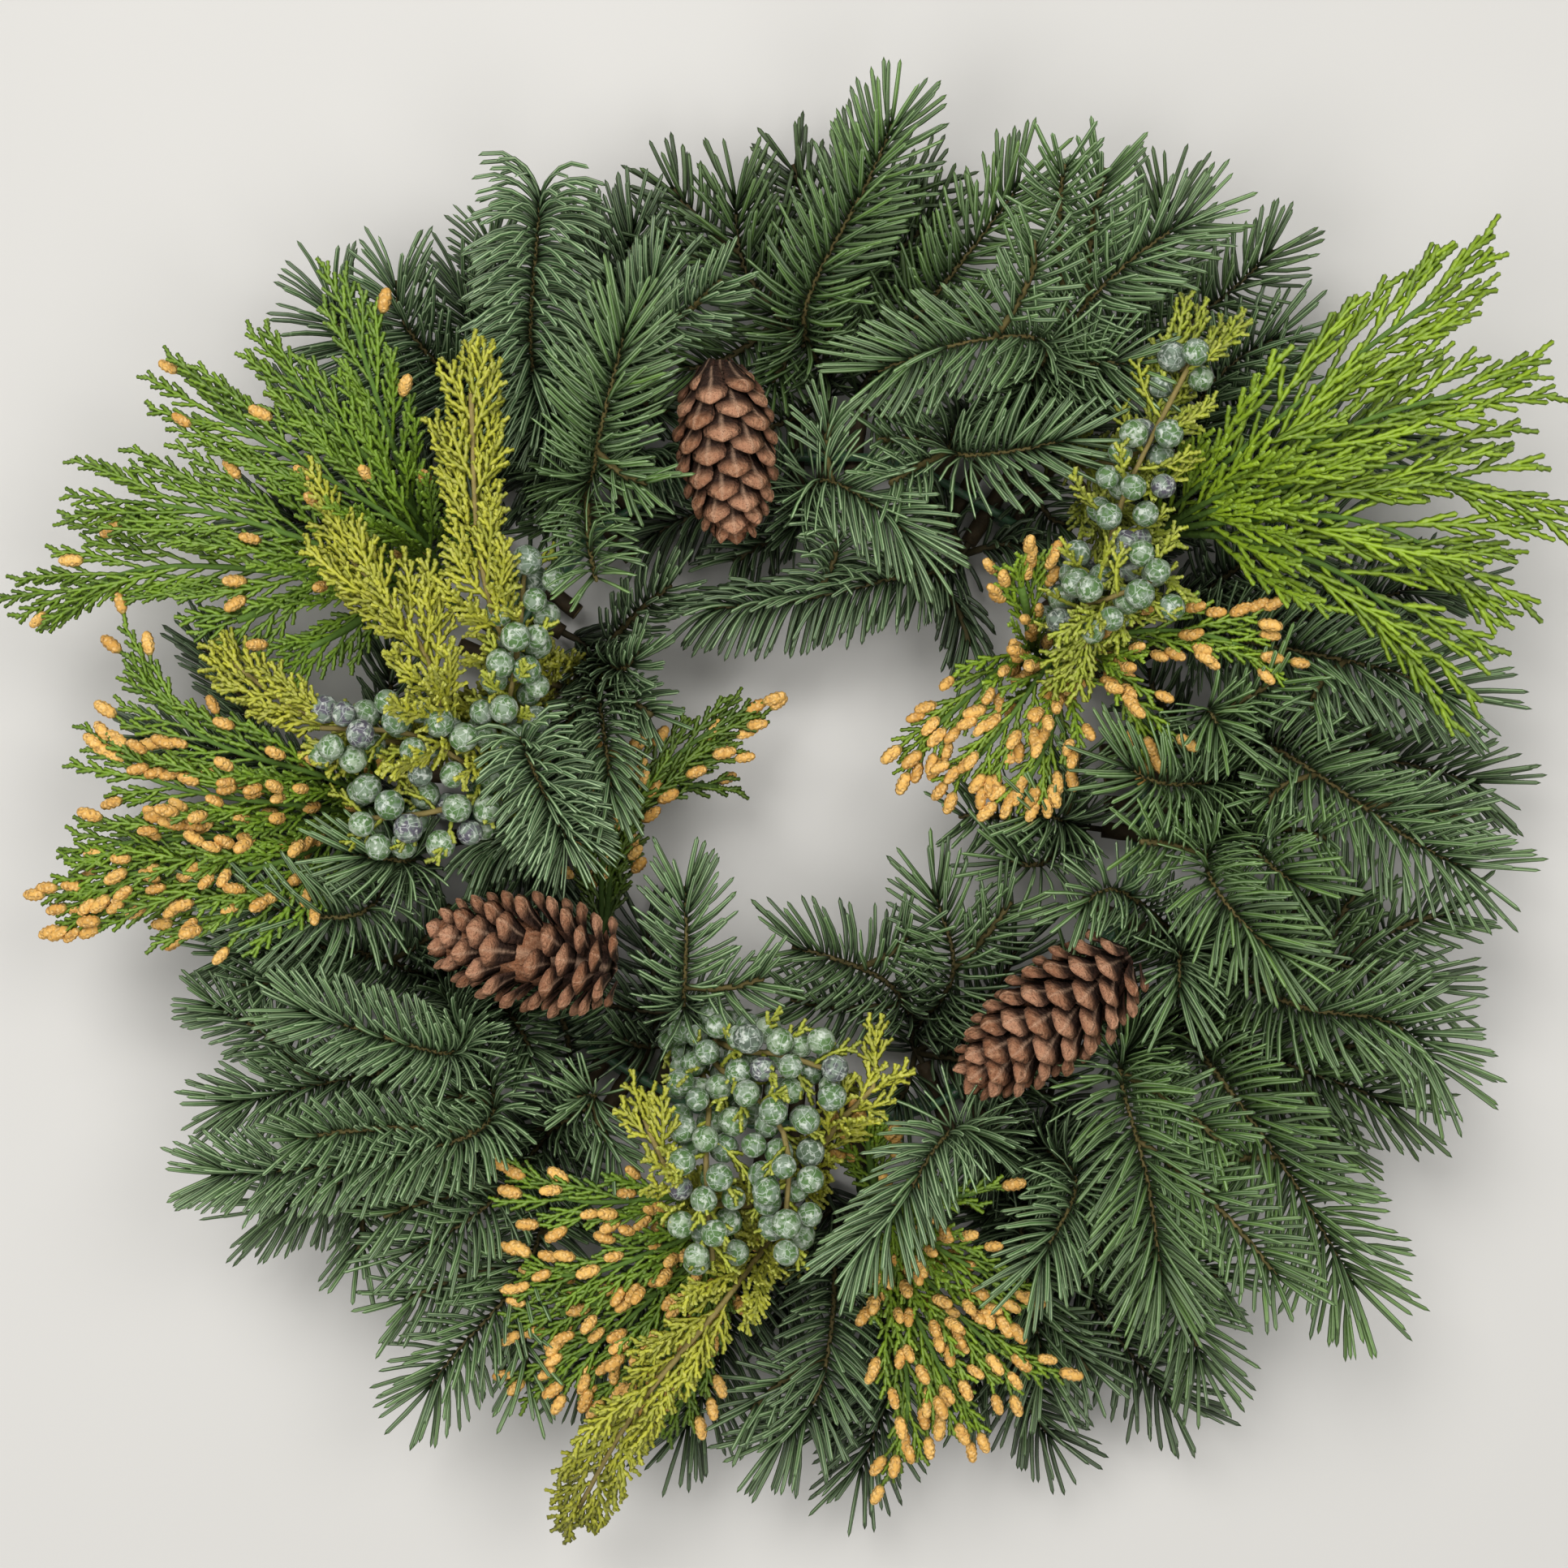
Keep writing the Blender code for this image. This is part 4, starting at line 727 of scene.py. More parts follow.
class Sheaf:
    """Gathers batches of tubes into one mesh, with values at each point for the materials to read."""

    def __init__(self):
        self.points, self.quads, self.triangles, self.values, self.count = [], [], [], [], 0

    def add(self, points, quads, triangles, values):
        self.points.append(points.reshape(-1, 3))
        self.quads.append(quads.reshape(-1) + self.count)
        self.triangles.append(triangles.reshape(-1) + self.count)
        self.values.append(values.reshape(-1, len(VALUES)))
        self.count += len(self.points[-1])

    def piece(self, name, look, slot, node):
        """The mesh as a piece that stands for a node, with the given look; slot is not used."""
        points = np.concatenate(self.points) + RING_CENTRE
        quads, triangles = np.concatenate(self.quads), np.concatenate(self.triangles)
        corners = np.concatenate([quads, triangles])
        starts = np.concatenate([np.arange(0, len(quads), 4), np.arange(len(quads), len(corners), 3)])
        values = np.concatenate(self.values)
        mesh = bpy.data.meshes.new(name)
        mesh.vertices.add(len(points))
        mesh.vertices.foreach_set("co", points.astype(np.float32).ravel())
        mesh.loops.add(len(corners))
        mesh.loops.foreach_set("vertex_index", corners.astype(np.int32))
        mesh.polygons.add(len(starts))
        mesh.polygons.foreach_set("loop_start", starts.astype(np.int32))
        mesh.update(calc_edges=True)
        mesh.shade_smooth()
        for column, value in enumerate(VALUES):
            attribute = mesh.attributes.new(value, "FLOAT", "POINT")
            attribute.data.foreach_set("value", values[:, column].astype(np.float32))
        mesh.materials.append(look)
        made = bpy.data.objects.new(name, mesh)
        bpy.context.scene.collection.objects.link(made)
        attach(made, "root")
        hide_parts(node)
        return made


def units(vectors):
    return vectors / (np.linalg.norm(vectors, axis=-1, keepdims=True) + 1e-12)


def round_section(sides):
    turn = np.arange(sides) * 2 * math.pi / sides
    return np.stack([np.cos(turn), np.sin(turn)], axis=1)


def add_tubes(sheaf, centres, wide, thick, up, section, tint, fresh, pointed=False):
    """Adds a closed, flattened tube along each row of centres. up is the way across its thickness."""
    count, rings = centres.shape[:2]
    shape = (count, rings)
    run = units(np.gradient(centres, axis=1))
    side = units(np.cross(up[:, None], run))
    lift = np.cross(run, side)
    sides = len(section)
    out = side[:, :, None] * (np.broadcast_to(wide, shape)[..., None] * section[:, 0])[..., None]
    out = out + lift[:, :, None] * (np.broadcast_to(thick, shape)[..., None] * section[:, 1])[..., None]
    values = np.empty((count, rings, sides, len(VALUES)))
    values[..., 0] = (np.arange(rings) / (rings - 1))[:, None]
    values[..., 1] = section[:, 0]
    values[..., 2] = np.broadcast_to(tint, (count,))[:, None, None]
    values[..., 3] = np.broadcast_to(fresh, (count,))[:, None, None]
    points = (centres[:, :, None] + out).reshape(count, rings * sides, 3)
    values = values.reshape(count, rings * sides, len(VALUES))
    walled = rings - 1
    if pointed:
        # One point on the centre line takes the last ring's place
        walled -= 1
        points, values = points[:, : 1 - sides].copy(), values[:, : 1 - sides].copy()
        points[:, -1] = centres[:, -1]
        values[:, -1, 1] = 0
    start = np.arange(count)[:, None, None] * points.shape[1]
    k = np.arange(sides)
    after = (k + 1) % sides
    ring = start + np.arange(walled)[:, None] * sides
    walls = np.stack([ring + k, ring + after, ring + sides + after, ring + sides + k], axis=-1)
    quads, triangles = [walls.reshape(-1)], []
    last = walled * sides
    if sides == len(KEELED):
        triangles.append(start + k[::-1])
        if not pointed:
            triangles.append(start + last + k)
    else:
        j = np.arange(sides // 2 - 1)
        cap = np.stack([j, j + 1, sides - 2 - j, sides - 1 - j], axis=-1)
        quads.append(start + cap[:, ::-1])
        if not pointed:
            quads.append(start + last + cap)
    if pointed:
        triangles.append(start + np.stack([last + k, last + after, np.full(sides, last + sides)], axis=-1))
    corners = [np.concatenate([part.reshape(-1) for part in parts]) if parts else np.empty(0, dtype=int)
               for parts in (quads, triangles)]
    sheaf.add(points, *corners, values)


def add_rod(sheaf, centres, radii, up, sides, tint, fresh):
    """Adds one round tube."""
    centres, radii, up = centres[None], radii[None], np.array(up)[None]
    add_tubes(sheaf, centres, radii, radii, up, round_section(sides), tint, fresh)


def stem_frames(stem, places):
    """Points on a stem, with its direction there, a level side and the upper side."""
    points = stem.at(places)
    run = units(stem.at(places + SAMPLE / 4) - stem.at(places - SAMPLE))
    side = units(np.cross((0, 0, 1), run))
    return points, run, side, np.cross(run, side)


# Side shoots


def side_shoots_to_try(stem):
    """Short side shoots off a stem, on both sides and at a few places, angles and lengths."""
    first = stem.total * SIDE_FIRST if stem.parent else stem.held + BARE_PAST_CLAMP
    places = np.linspace(first, stem.total * SIDE_LAST, SIDE_PLACES)
    middle, run, side, upper = stem_frames(stem, places)
    t = np.linspace(0, 1, 8)[:, None]
    for i, place in enumerate(places):
        for sign in (-1, 1):
            for degrees, climb in SIDE_ANGLES[stem.bough.kind]:
                for length in SIDE_LENGTHS:
                    turn = math.radians(degrees)
                    way = run[i] * math.cos(turn) + side[i] * sign * math.sin(turn) + (0, 0, climb)
                    path = middle[i] + (way * t + (run[i] - way) * SIDE_BEND * t**2) * length
                    path[:, 2] = np.maximum(path[:, 2], SIDE_LOWEST)
                    yield stem, place, path


def on_ring(path):
    """Whether a side shoot stays on the ring, off the hole and off the cones, unless low beneath them."""
    plan = path[2:, :2]
    hole = ((plan > HOLE_LOW) & (plan < HOLE_HIGH)).all(axis=1).any()
    for cone in CONES:
        line = np.linspace(cone.base[:2], cone.tip[:2], 12) * MM
        near = np.linalg.norm(plan[:, None] - line, axis=-1).min(axis=1) < cone.radius * MM + CONE_ROOM
        underside = (min(cone.base[2], cone.tip[2]) - cone.radius) * MM
        if (near & (path[2:, 2] > underside - UNDER_CONE_ROOM)).any():
            return False
    return not hole and np.linalg.norm(plan, axis=1).max() < SIDE_OUTERMOST


def fill_fans(stems):
    """Adds a cedar shoot halfway between each two neighbours of a spray."""
    added = []
    for bough in BOUGHS:
        if bough.kind != "cedar":
            continue
        own = [stem for stem in stems if stem.bough is bough]
        order = sorted(range(len(own)), key=lambda i: fan_angle(own, i))
        for first, second in zip(order, order[1:]):
            shares = np.linspace(0, 1, FAN_POINTS)
            a, b = (own[i].at(shares * own[i].total) for i in (first, second))
            path = a * 0.5 + b * 0.5 + (0, 0, FAN_LIFT)
            added.append(Stem(bough, own[first].spec, path, len(stems) + len(added), own[first]))
    return added


def fan_angle(own, i):
    """Where a shoot's tip lies round the root of its spray, from the way of the spray's middle."""
    root = own[0].path[0]
    middle = unit(np.mean([stem.path[-1] for stem in own], axis=0) - root)
    way = own[i].path[-1] - root
    return math.atan2(middle[0] * way[1] - middle[1] * way[0], middle @ way)


def add_side_shoots(stems):
    """Adds side shoots wherever the foliage, seen from above, would leave the widest gap."""
    tried = [trial for stem in stems if stem.bough.kind in SIDE_ANGLES for trial in side_shoots_to_try(stem)]
    tried = [trial for trial in tried if on_ring(trial[2])]
    ends = np.array([path[3:, :2] for stem, place, path in tried])
    taken = [stem.path[lengths_along(stem.path) > stem.held + SIDE_BARE][:, :2] for stem in stems]
    gap = np.full(ends.shape[:2], WIDEST_GAP)
    number = len(stems)
    while number < len(stems) + MOST_SIDE_SHOOTS:
        for path in taken:
            apart = np.linalg.norm(ends[:, :, None] - path[None, None], axis=-1).min(axis=-1)
            gap = np.minimum(gap, apart)
        widest = gap.mean(axis=1).argmax()
        if gap[widest].mean() < LEAST_GAP:
            break
        stem, place, path = tried[widest]
        spec = Shoot((), SIDE_NEEDLE[stem.bough.kind], None)
        made = Stem(stem.bough, spec, path, number, stem, place)
        made.filler = True
        stem.fillers.append(made)
        taken = [path[:, :2]]
        number += 1
    return [filler for stem in stems for filler in stem.fillers]


# Stems and butts


def add_stem(sheaf, stem):
    green, golden = BARK_TINTS[stem.bough.kind]
    count = max(4, round(stem.total / BARK_STEP))
    places = np.linspace(0, stem.total, count)
    radii = stem.radius_at(places) * STEM_THINNER[stem.bough.kind]
    knots = 1 + KNOT_SWELL * np.sin(places / MM * KNOTS_PER_MM + stem.number)
    add_rod(sheaf, stem.at(places), radii * knots, UPRIGHT, BARK_SIDES, green, golden)


def add_butt(sheaf, bough):
    """The cut stem that the clamp holds, pale on its cut end and barked behind it."""
    cut_end, mouth = butt_ends(bough)
    run = mouth - cut_end
    depth = CUT_DEPTH / np.linalg.norm(run)
    radius = BUTT_HALF_HEIGHT * BUTT_SWELL
    slice_shares = np.array((0.0, depth))
    bark_shares = np.linspace(depth, 1.0, BUTT_RINGS)
    for shares, fresh in ((slice_shares, 1.0), (bark_shares, 0.0)):
        centres = cut_end + run * shares[:, None]
        bulge = radius * (1 + BUTT_BULGE * np.sin(shares * BUTT_BULGES))
        add_rod(sheaf, centres, bulge, UPRIGHT, ROD_SIDES, BUTT_GREEN, fresh)


# Needles


def add_needles(sheaf, stem, habit, fresh, draw):
    """Needles in a spiral, each a keeled blade that bends away from the shoot and ends in a point."""
    spec = stem.spec
    bare = BARE_PAST_FORK if stem.parent else stem.held + BARE_PAST_CLAMP
    pitch = NEEDLE_PITCH * (FILLER_PITCH if stem.filler else 1.0) * habit.pitch
    shares = BLOWN_SHARES if any(habit.sweep) else NEEDLE_SHARES
    places = np.arange(bare, stem.total - 0.0004, pitch)
    count = len(places)
    middle, run, side, upper = stem_frames(stem, places)
    spiral = (np.arange(count) * GOLDEN + draw.normal(0, 0.12, count)) % (2 * math.pi) - math.pi
    parting, lowest = math.radians(habit.parting), math.radians(habit.lowest)
    away = parting + (lowest - parting) * np.abs(spiral) / math.pi
    side = side * np.where(spiral < 0, -1, 1)[:, None]
    lean = TIP_LEAN + (1 - TIP_LEAN) * np.clip((stem.total - places) / TIP_STRETCH, 0, 1)
    forward = math.radians(spec.forward or NEEDLE_ANGLE)
    angle = forward * lean * draw.normal(1, 0.09, count)
    grown = np.clip((places - places[0]) / GROWN_AFTER, 0, 1)
    grown = FIRST_LENGTH + GROWN_LENGTH * grown
    length = spec.needle * MM * habit.stretch * draw.uniform(0.84, 1.04, count) * grown
    line = [middle + (upper * np.cos(away)[:, None] + side * np.sin(away)[:, None]) * TIP_RADIUS * 0.5]
    for low, high in zip(shares, shares[1:]):
        share = (low + high) / 2
        bend = angle * (habit.root_share + (habit.tip_share - habit.root_share) * min(1, share / BENT_BY))
        turn = away + (LEVEL - away) * LEVELLING * share
        outward = upper * np.cos(turn)[:, None] + side * np.sin(turn)[:, None]
        way = run * np.cos(bend)[:, None] + outward * np.sin(bend)[:, None]
        way = units(way + np.array(habit.sweep) * share)
        line.append(line[-1] + way * (length * (high - low))[:, None])
    centres = np.stack(line, axis=1)
    centres[..., 2] = np.maximum(centres[..., 2], FLOOR_ROOM)
    wide = NEEDLE_HALF_WIDTH * np.interp(shares, *NEEDLE_WIDTHS) * draw.uniform(0.88, 1.1, (count, 1))
    thick = wide * NEEDLE_HALF_THICKNESS / NEEDLE_HALF_WIDTH
    up = units(upper + draw.normal(0, 0.25, (count, 3)))
    young = np.clip(fresh + draw.normal(0, 0.08, count) + 0.25 * (1 - lean), 0, 1)
    add_tubes(sheaf, centres, wide, thick, up, KEELED, draw.uniform(0, 1, count), young, pointed=True)


# Twigs leave root along way and bend by curl. up is the way across the spray.
Twigs = namedtuple("Twigs", "root way up curl length")


def twig_points(twigs, shares):
    t = np.asarray(shares)[None, :, None]
    bent = twigs.way[:, None] * t + twigs.curl[:, None] * t**2
    return twigs.root[:, None] + bent * twigs.length[:, None, None]


def add_scaly(sheaf, twigs, body, fresh, draw):
    """Tubes whose sides step in at the end of each pair of scale leaves."""
    count = len(twigs.root)
    scales = body.scales
    starts = np.arange(scales) / scales
    ends = starts + SCALE_END / scales
    shares = np.sort(np.concatenate([starts + SCALE_START / scales, ends, [1.0]]))
    saw = np.array([SCALE_NECK, SCALE_BELLY] * scales + [TWIG_END])
    taper = np.interp(shares, *TWIG_TAPER)
    wide = body.half_width * saw * taper * draw.uniform(0.9, 1.1, (count, 1))
    thick = wide * body.half_thickness / body.half_width
    centres = twig_points(twigs, shares)
    centres[..., 2] = np.maximum(centres[..., 2], FLOOR_ROOM)
    tint = draw.uniform(0, 1, count)
    add_tubes(sheaf, centres, wide, thick, twigs.up, KEELED, tint, fresh, pointed=True)


def shoot_twigs(stem, spray, draw):
    """Twigs that leave a shoot on alternate sides, and the one that ends it."""
    reach = stem.spec.needle * MM
    places = np.arange(stem.total * spray.bare, stem.total, spray.pitch)
    count = len(places)
    middle, run, side, upper = stem_frames(stem, places)
    flip = np.where(np.arange(count) % 2, -1, 1)
    roll = draw.uniform(-spray.roll, spray.roll, count)
    side = (side * np.cos(roll)[:, None] + upper * np.sin(roll)[:, None]) * flip[:, None]
    share = (places - places[0]) / (places[-1] - places[0] + 1e-9)
    every, first = LONG_TWIGS
    long_ones = np.where(np.arange(count) % every < first, 1.0, 0.0)
    lean = TIP_TWIG_LEAN * share
    angle = np.radians(spray.forward - lean - LONG_LEAN * long_ones + draw.normal(0, 3, count))
    way = run * np.cos(angle)[:, None] + side * np.sin(angle)[:, None]
    way = units(way + upper * draw.normal(0, 0.07, count)[:, None])
    length = reach * np.interp(share, *TWIG_LENGTHS) * draw.uniform(0.80, 1.0, count)
    length = length * (1 + LONG_STRETCH * long_ones)
    curl = (run - way) * TWIG_BEND + TWIG_DROOP
    up = units(upper + draw.normal(0, 0.12, (count, 3)))
    end, onward, _, above = stem_frames(stem, np.array([stem.total]))
    return Twigs(
        np.concatenate([middle, end]), np.concatenate([way, onward]), np.concatenate([up, above]),
        np.concatenate([curl, [TIP_DROOP]]), np.append(length, reach * PAST_TIP[stem.bough.kind]))


def side_twigs(twigs, small, draw):
    """Short twigs on alternate sides of each twig, shorter towards its tip."""
    bare = small.bare
    counts = np.maximum(1, np.floor((1 - bare) * twigs.length / small.pitch).astype(int))
    owner = np.repeat(np.arange(len(counts)), counts)
    number = np.arange(len(owner)) - np.repeat(np.cumsum(counts) - counts, counts)
    total = len(owner)
    share = bare + (number + 0.6) * (1 - bare) / (counts[owner] + 0.3)
    way, up, curl, length = (column[owner] for column in twigs[1:])
    run = units(way + 2 * curl * share[:, None])
    root = twigs.root[owner] + (way * share[:, None] + curl * share[:, None] ** 2) * length[:, None]
    flat = units(np.cross(up, run)) * np.where(number % 2, -1, 1)[:, None]
    roll = draw.uniform(-small.roll, small.roll, total)
    side = flat * np.cos(roll)[:, None] + up * np.sin(roll)[:, None]
    turn = np.radians(small.angle + draw.normal(0, 4, total))
    out = units(run * np.cos(turn)[:, None] + side * np.sin(turn)[:, None])
    long = small.longest + (small.shortest - small.longest) * share
    long = long * draw.uniform(0.8, 1.1, total)
    long = np.minimum(long, length * 0.5)
    return Twigs(root, out, units(up + draw.normal(0, 0.15, (total, 3))), (run - out) * SMALL_BEND, long)


def add_spray(sheaf, stem, spray, draw):
    """The twigs of one shoot with the smaller ones on them, the last of which it gives back."""
    twigs = shoot_twigs(stem, spray, draw)
    stretch = spray.stretch
    if isinstance(stretch, tuple):
        stretch = draw.uniform(*stretch, len(twigs.length))
    twigs = twigs._replace(length=twigs.length * stretch)
    add_scaly(sheaf, twigs, spray.body, spray.fresh, draw)
    for small in spray.smalls:
        twigs = side_twigs(twigs, small, draw)
        add_scaly(sheaf, twigs, small.body, spray.fresh, draw)
    return twigs


# Pollen cones and berries


def tips(twigs):
    """The end of each twig and its direction there."""
    end = twigs.root + (twigs.way + twigs.curl) * twigs.length[:, None]
    return end, units(twigs.way + 2 * twigs.curl)


def add_beads(sheaf, starts, ways, length, radius, rings, sides, ripple, draw):
    """Round bodies that swell and close along their ways, with a few ridges round them."""
    count = len(starts)
    t = np.linspace(0.02, 0.98, rings)
    swell = np.sin(np.arccos(1 - 2 * t)) ** 0.85 * (1 + ripple * np.cos(t * 2 * math.pi * 4.5))
    size = draw.uniform(0.86, 1.08, (count, 1))
    centres = starts[:, None] + ways[:, None] * (t[None] * length * size)[..., None]
    up = units(np.array((0.0, 0.0, 1.0)) + draw.normal(0, 0.2, (count, 3)))
    radii = radius * swell * size
    tint, fresh = draw.uniform(0, 1, (2, count))
    add_tubes(sheaf, centres, radii, radii, up, round_section(sides), tint, fresh)


def add_pollen_cones(sheaf, twigs, share, draw):
    """Pollen cones on the ends of some twigs, more of them the more fruit the spray bears."""
    bears = draw.uniform(0, 1, len(twigs.root)) < 1.9 * share**1.5
    if bears.any():
        ends, ways = tips(twigs)
        starts = ends[bears] - ways[bears] * CATKIN_SUNK
        add_beads(sheaf, starts, ways[bears], CATKIN_LENGTH, CATKIN_RADIUS,
                  CATKIN_RINGS, CATKIN_SIDES, CATKIN_RIPPLE, draw)


def add_berries(sheaf, stems, draw):
    centres = berry_places(stems, draw)
    ways = units(draw.normal(0, 1, (len(centres), 3)))
    starts = centres - ways * BERRY_RADIUS
    add_beads(sheaf, starts, ways, 2 * BERRY_RADIUS, BERRY_RADIUS, BERRY_RINGS, BERRY_SIDES, 0.0, draw)


def berry_places(stems, draw):
    """Centres of berries round the berried shoots, none of them deep inside another."""
    centres = []
    for stem in stems:
        places = np.arange(stem.total * BERRY_FIRST, stem.total + BERRY_RADIUS, BERRY_STEP)
        for number, place in enumerate(places):
            if draw.uniform() > BERRIED[stem.bough.name]:
                continue
            frames = stem_frames(stem, np.array([min(place, stem.total)]))
            middle, run, side, upper = (row[0] for row in frames)
            for attempt in range(BERRY_TRIES):
                turn = number * GOLDEN + attempt * BERRY_TURN
                far = draw.uniform(*BERRY_OUT)
                centre = middle + (side * math.cos(turn) + upper * math.sin(turn) * 0.8) * far
                centre = centre + run * draw.uniform(-0.002, 0.002)
                apart = [np.linalg.norm(centre - other) for other in centres]
                high = centre[2] > BERRY_RADIUS * BERRY_LOWEST
                if high and (not apart or min(apart) > BERRY_RADIUS * BERRY_APART):
                    centres.append(centre)
                    break
    return np.array(centres)


# Pine cones and wire


def cone_outline(share):
    """The cone's radius along its axis, as a share of its widest."""
    return np.interp(share, *CONE_OUTLINE)


def add_cone(sheaf, cone, draw):
    """Scales in a spiral round a core, each with a ridge and an end that turns out."""
    habit = CONE_HABITS[cone.name]
    base, tip = np.array(cone.base) * MM, np.array(cone.tip) * MM
    axis = unit(tip - base)
    length, radius = np.linalg.norm(tip - base), cone.radius * MM
    level = unit(np.cross((0, 0, 1), axis))
    upper = np.cross(axis, level)
    core = base + np.outer(CORE_SHARES * length, axis)
    add_rod(sheaf, core, cone_outline(CORE_SHARES) * radius * CONE_CORE, upper, ROD_SIDES, 0.0, 0.0)
    number = np.arange(habit.scales)
    share = ((number + 0.5) / habit.scales) ** SCALE_CROWDING
    turn = number * GOLDEN
    if habit.gap:
        low, high, half = habit.gap
        facing_up = np.abs((np.degrees(turn) - 90 + 180) % 360 - 180) < half
        kept = ~(facing_up & (share > low) & (share < high))
        share, turn = share[kept], turn[kept]
    count = len(share)
    outward = level * np.cos(turn)[:, None] + upper * np.sin(turn)[:, None]
    angle = np.radians(np.interp(share, (0, 0.5, 1), habit.angles) + draw.normal(0, 2.5, count))
    way = axis * np.cos(angle)[:, None] + outward * np.sin(angle)[:, None]
    end_radius = cone_outline(share) * radius
    depth = end_radius - SCALE_ROOT * radius * cone_outline(share)
    long = np.clip(depth / np.sin(angle), *SCALE_LENGTHS)
    end = base + np.outer(share * length, axis) + outward * end_radius[:, None]
    root = end - way * long[:, None]
    t = SCALE_SHARES[None, :, None]
    recurve = (outward * SCALE_RECURVE[0] + axis * SCALE_RECURVE[1]) * long[:, None]
    centres = root[:, None] + way[:, None] * long[:, None, None] * t + recurve[:, None] * (t**3 - t)
    size = habit.half_width * MM * (LEAST_SCALE + SCALE_GAIN * cone_outline(share))
    size = size * draw.uniform(0.92, 1.08, count)
    wide = SCALE_WIDTHS * size[:, None]
    thick = SCALE_DEPTHS * size[:, None]
    add_tubes(sheaf, centres, wide, thick, outward, RIDGED, draw.uniform(0, 1, count), share)


def pick_path(cone):
    """From beside the ring's wire up to just under the cone."""
    solid = frame["nodes"][cone.name]
    surface = BVHTree.FromObject(solid, bpy.context.evaluated_depsgraph_get())
    middle = Vector(cone.base).lerp(Vector(cone.tip), 0.5) * MM
    below = Vector((middle.x + RING_CENTRE[0], middle.y + RING_CENTRE[1], 0))
    under = surface.ray_cast(below, Vector((0, 0, 1)))[0]
    top = np.array(under) - RING_CENTRE - (0, 0, SEAT + PICK_RADIUS)
    beside = RING_RADIUS + WIRE_RADIUS + SEAT + PICK_RADIUS
    foot = polar(beside, cone.pick_angle, FLOOR_ROOM + PICK_RADIUS)
    shin = polar(beside, cone.pick_angle, 4 * WIRE_HEIGHT)
    over = shin[:2] * (1 - PICK_KNEE_SHARE) + top[:2] * PICK_KNEE_SHARE
    knee = np.array((*over, PICK_KNEE_HEIGHT))
    neck = top - (0, 0, PICK_NECK)
    return [foot, shin, knee, neck, top]


def add_wire(sheaf, points, radius, up=SLANTED, sides=WIRE_SIDES):
    """Adds a bent wire. up is any way that it nowhere runs along."""
    points = np.array(points)
    add_rod(sheaf, points, np.full(len(points), radius), up, sides, 0.5, 0.0)


# Materials


class Look:
    """A Principled material whose colour and bump come from nodes."""

    def __init__(self, name, roughness, specular=0.4):
        self.material = bpy.data.materials.new(name)
        self.material.use_nodes = True
        self.tree = self.material.node_tree
        self.shader = self.tree.nodes["Principled BSDF"]
        self.shader.inputs["Roughness"].default_value = roughness
        self.shader.inputs["Specular IOR Level"].default_value = specular
        self.place = self.node("ShaderNodeTexCoord").outputs["Object"]

    def node(self, kind, **settings):
        made = self.tree.nodes.new(kind)
        for name, value in settings.items():
            setattr(made, name, value)
        return made

    def join(self, source, socket):
        if isinstance(source, (int, float)):
            socket.default_value = source
        elif isinstance(source, tuple):
            socket.default_value = (*source, 1.0)
        else:
            self.tree.links.new(source, socket)

    def values(self, *names):
        return [self.node("ShaderNodeAttribute", attribute_name=name).outputs["Fac"] for name in names]

    def noise(self, scale, detail=3.0, contrast=1.0):
        made = self.node("ShaderNodeTexNoise")
        self.join(self.place, made.inputs["Vector"])
        made.inputs["Scale"].default_value = scale
        made.inputs["Detail"].default_value = detail
        return self.spread(made.outputs["Fac"], 0.5 - 0.25 / contrast, 0.5 + 0.25 / contrast)

    def cells(self, scale, feature="F1"):
        made = self.node("ShaderNodeTexVoronoi", feature=feature)
        self.join(self.place, made.inputs["Vector"])
        made.inputs["Scale"].default_value = scale
        return made.outputs["Distance"]

    def spread(self, value, low, high, to_low=0.0, to_high=1.0):
        made = self.node("ShaderNodeMapRange", clamp=True)
        for socket, number in zip(made.inputs[:5], (value, low, high, to_low, to_high)):
            self.join(number, socket)
        return made.outputs[0]

    def maths(self, operation, first, second=0.0):
        made = self.node("ShaderNodeMath", operation=operation)
        self.join(first, made.inputs[0])
        self.join(second, made.inputs[1])
        return made.outputs[0]

    def mix(self, factor, first, second, blend="MIX"):
        made = self.node("ShaderNodeMix", data_type="RGBA", blend_type=blend)
        self.join(factor, made.inputs["Factor"])
        self.join(first, made.inputs[6])
        self.join(second, made.inputs[7])
        return made.outputs[2]

    def over(self, under, mask, low, high, share, colour):
        """The colour laid over what is under it, up to a share, as the mask goes from low to high."""
        return self.mix(self.spread(mask, low, high, 0, share), under, colour)

    def colour(self, output):
        self.join(output, self.shader.inputs["Base Color"])

    def colour_with_painted_low_shade(self, output):
        """The colour of foliage, with painted shade that darkens it low down in the ring, where the layers
        above shade it.
        """
        split = self.node("ShaderNodeSeparateXYZ")
        self.join(self.place, split.inputs[0])
        # Painted shade: the colour falls to a fifth of itself from 60 mm down to 12 mm above the floor
        height = self.spread(split.outputs["Z"], 0.012, 0.060, 0.20, 1.0)
        self.colour(self.mix(1.0, output, height, "MULTIPLY"))

    def bump(self, height, strength, distance):
        made = self.node("ShaderNodeBump")
        made.inputs["Strength"].default_value = strength
        made.inputs["Distance"].default_value = distance
        self.join(height, made.inputs["Height"])
        self.join(made.outputs["Normal"], self.shader.inputs["Normal"])


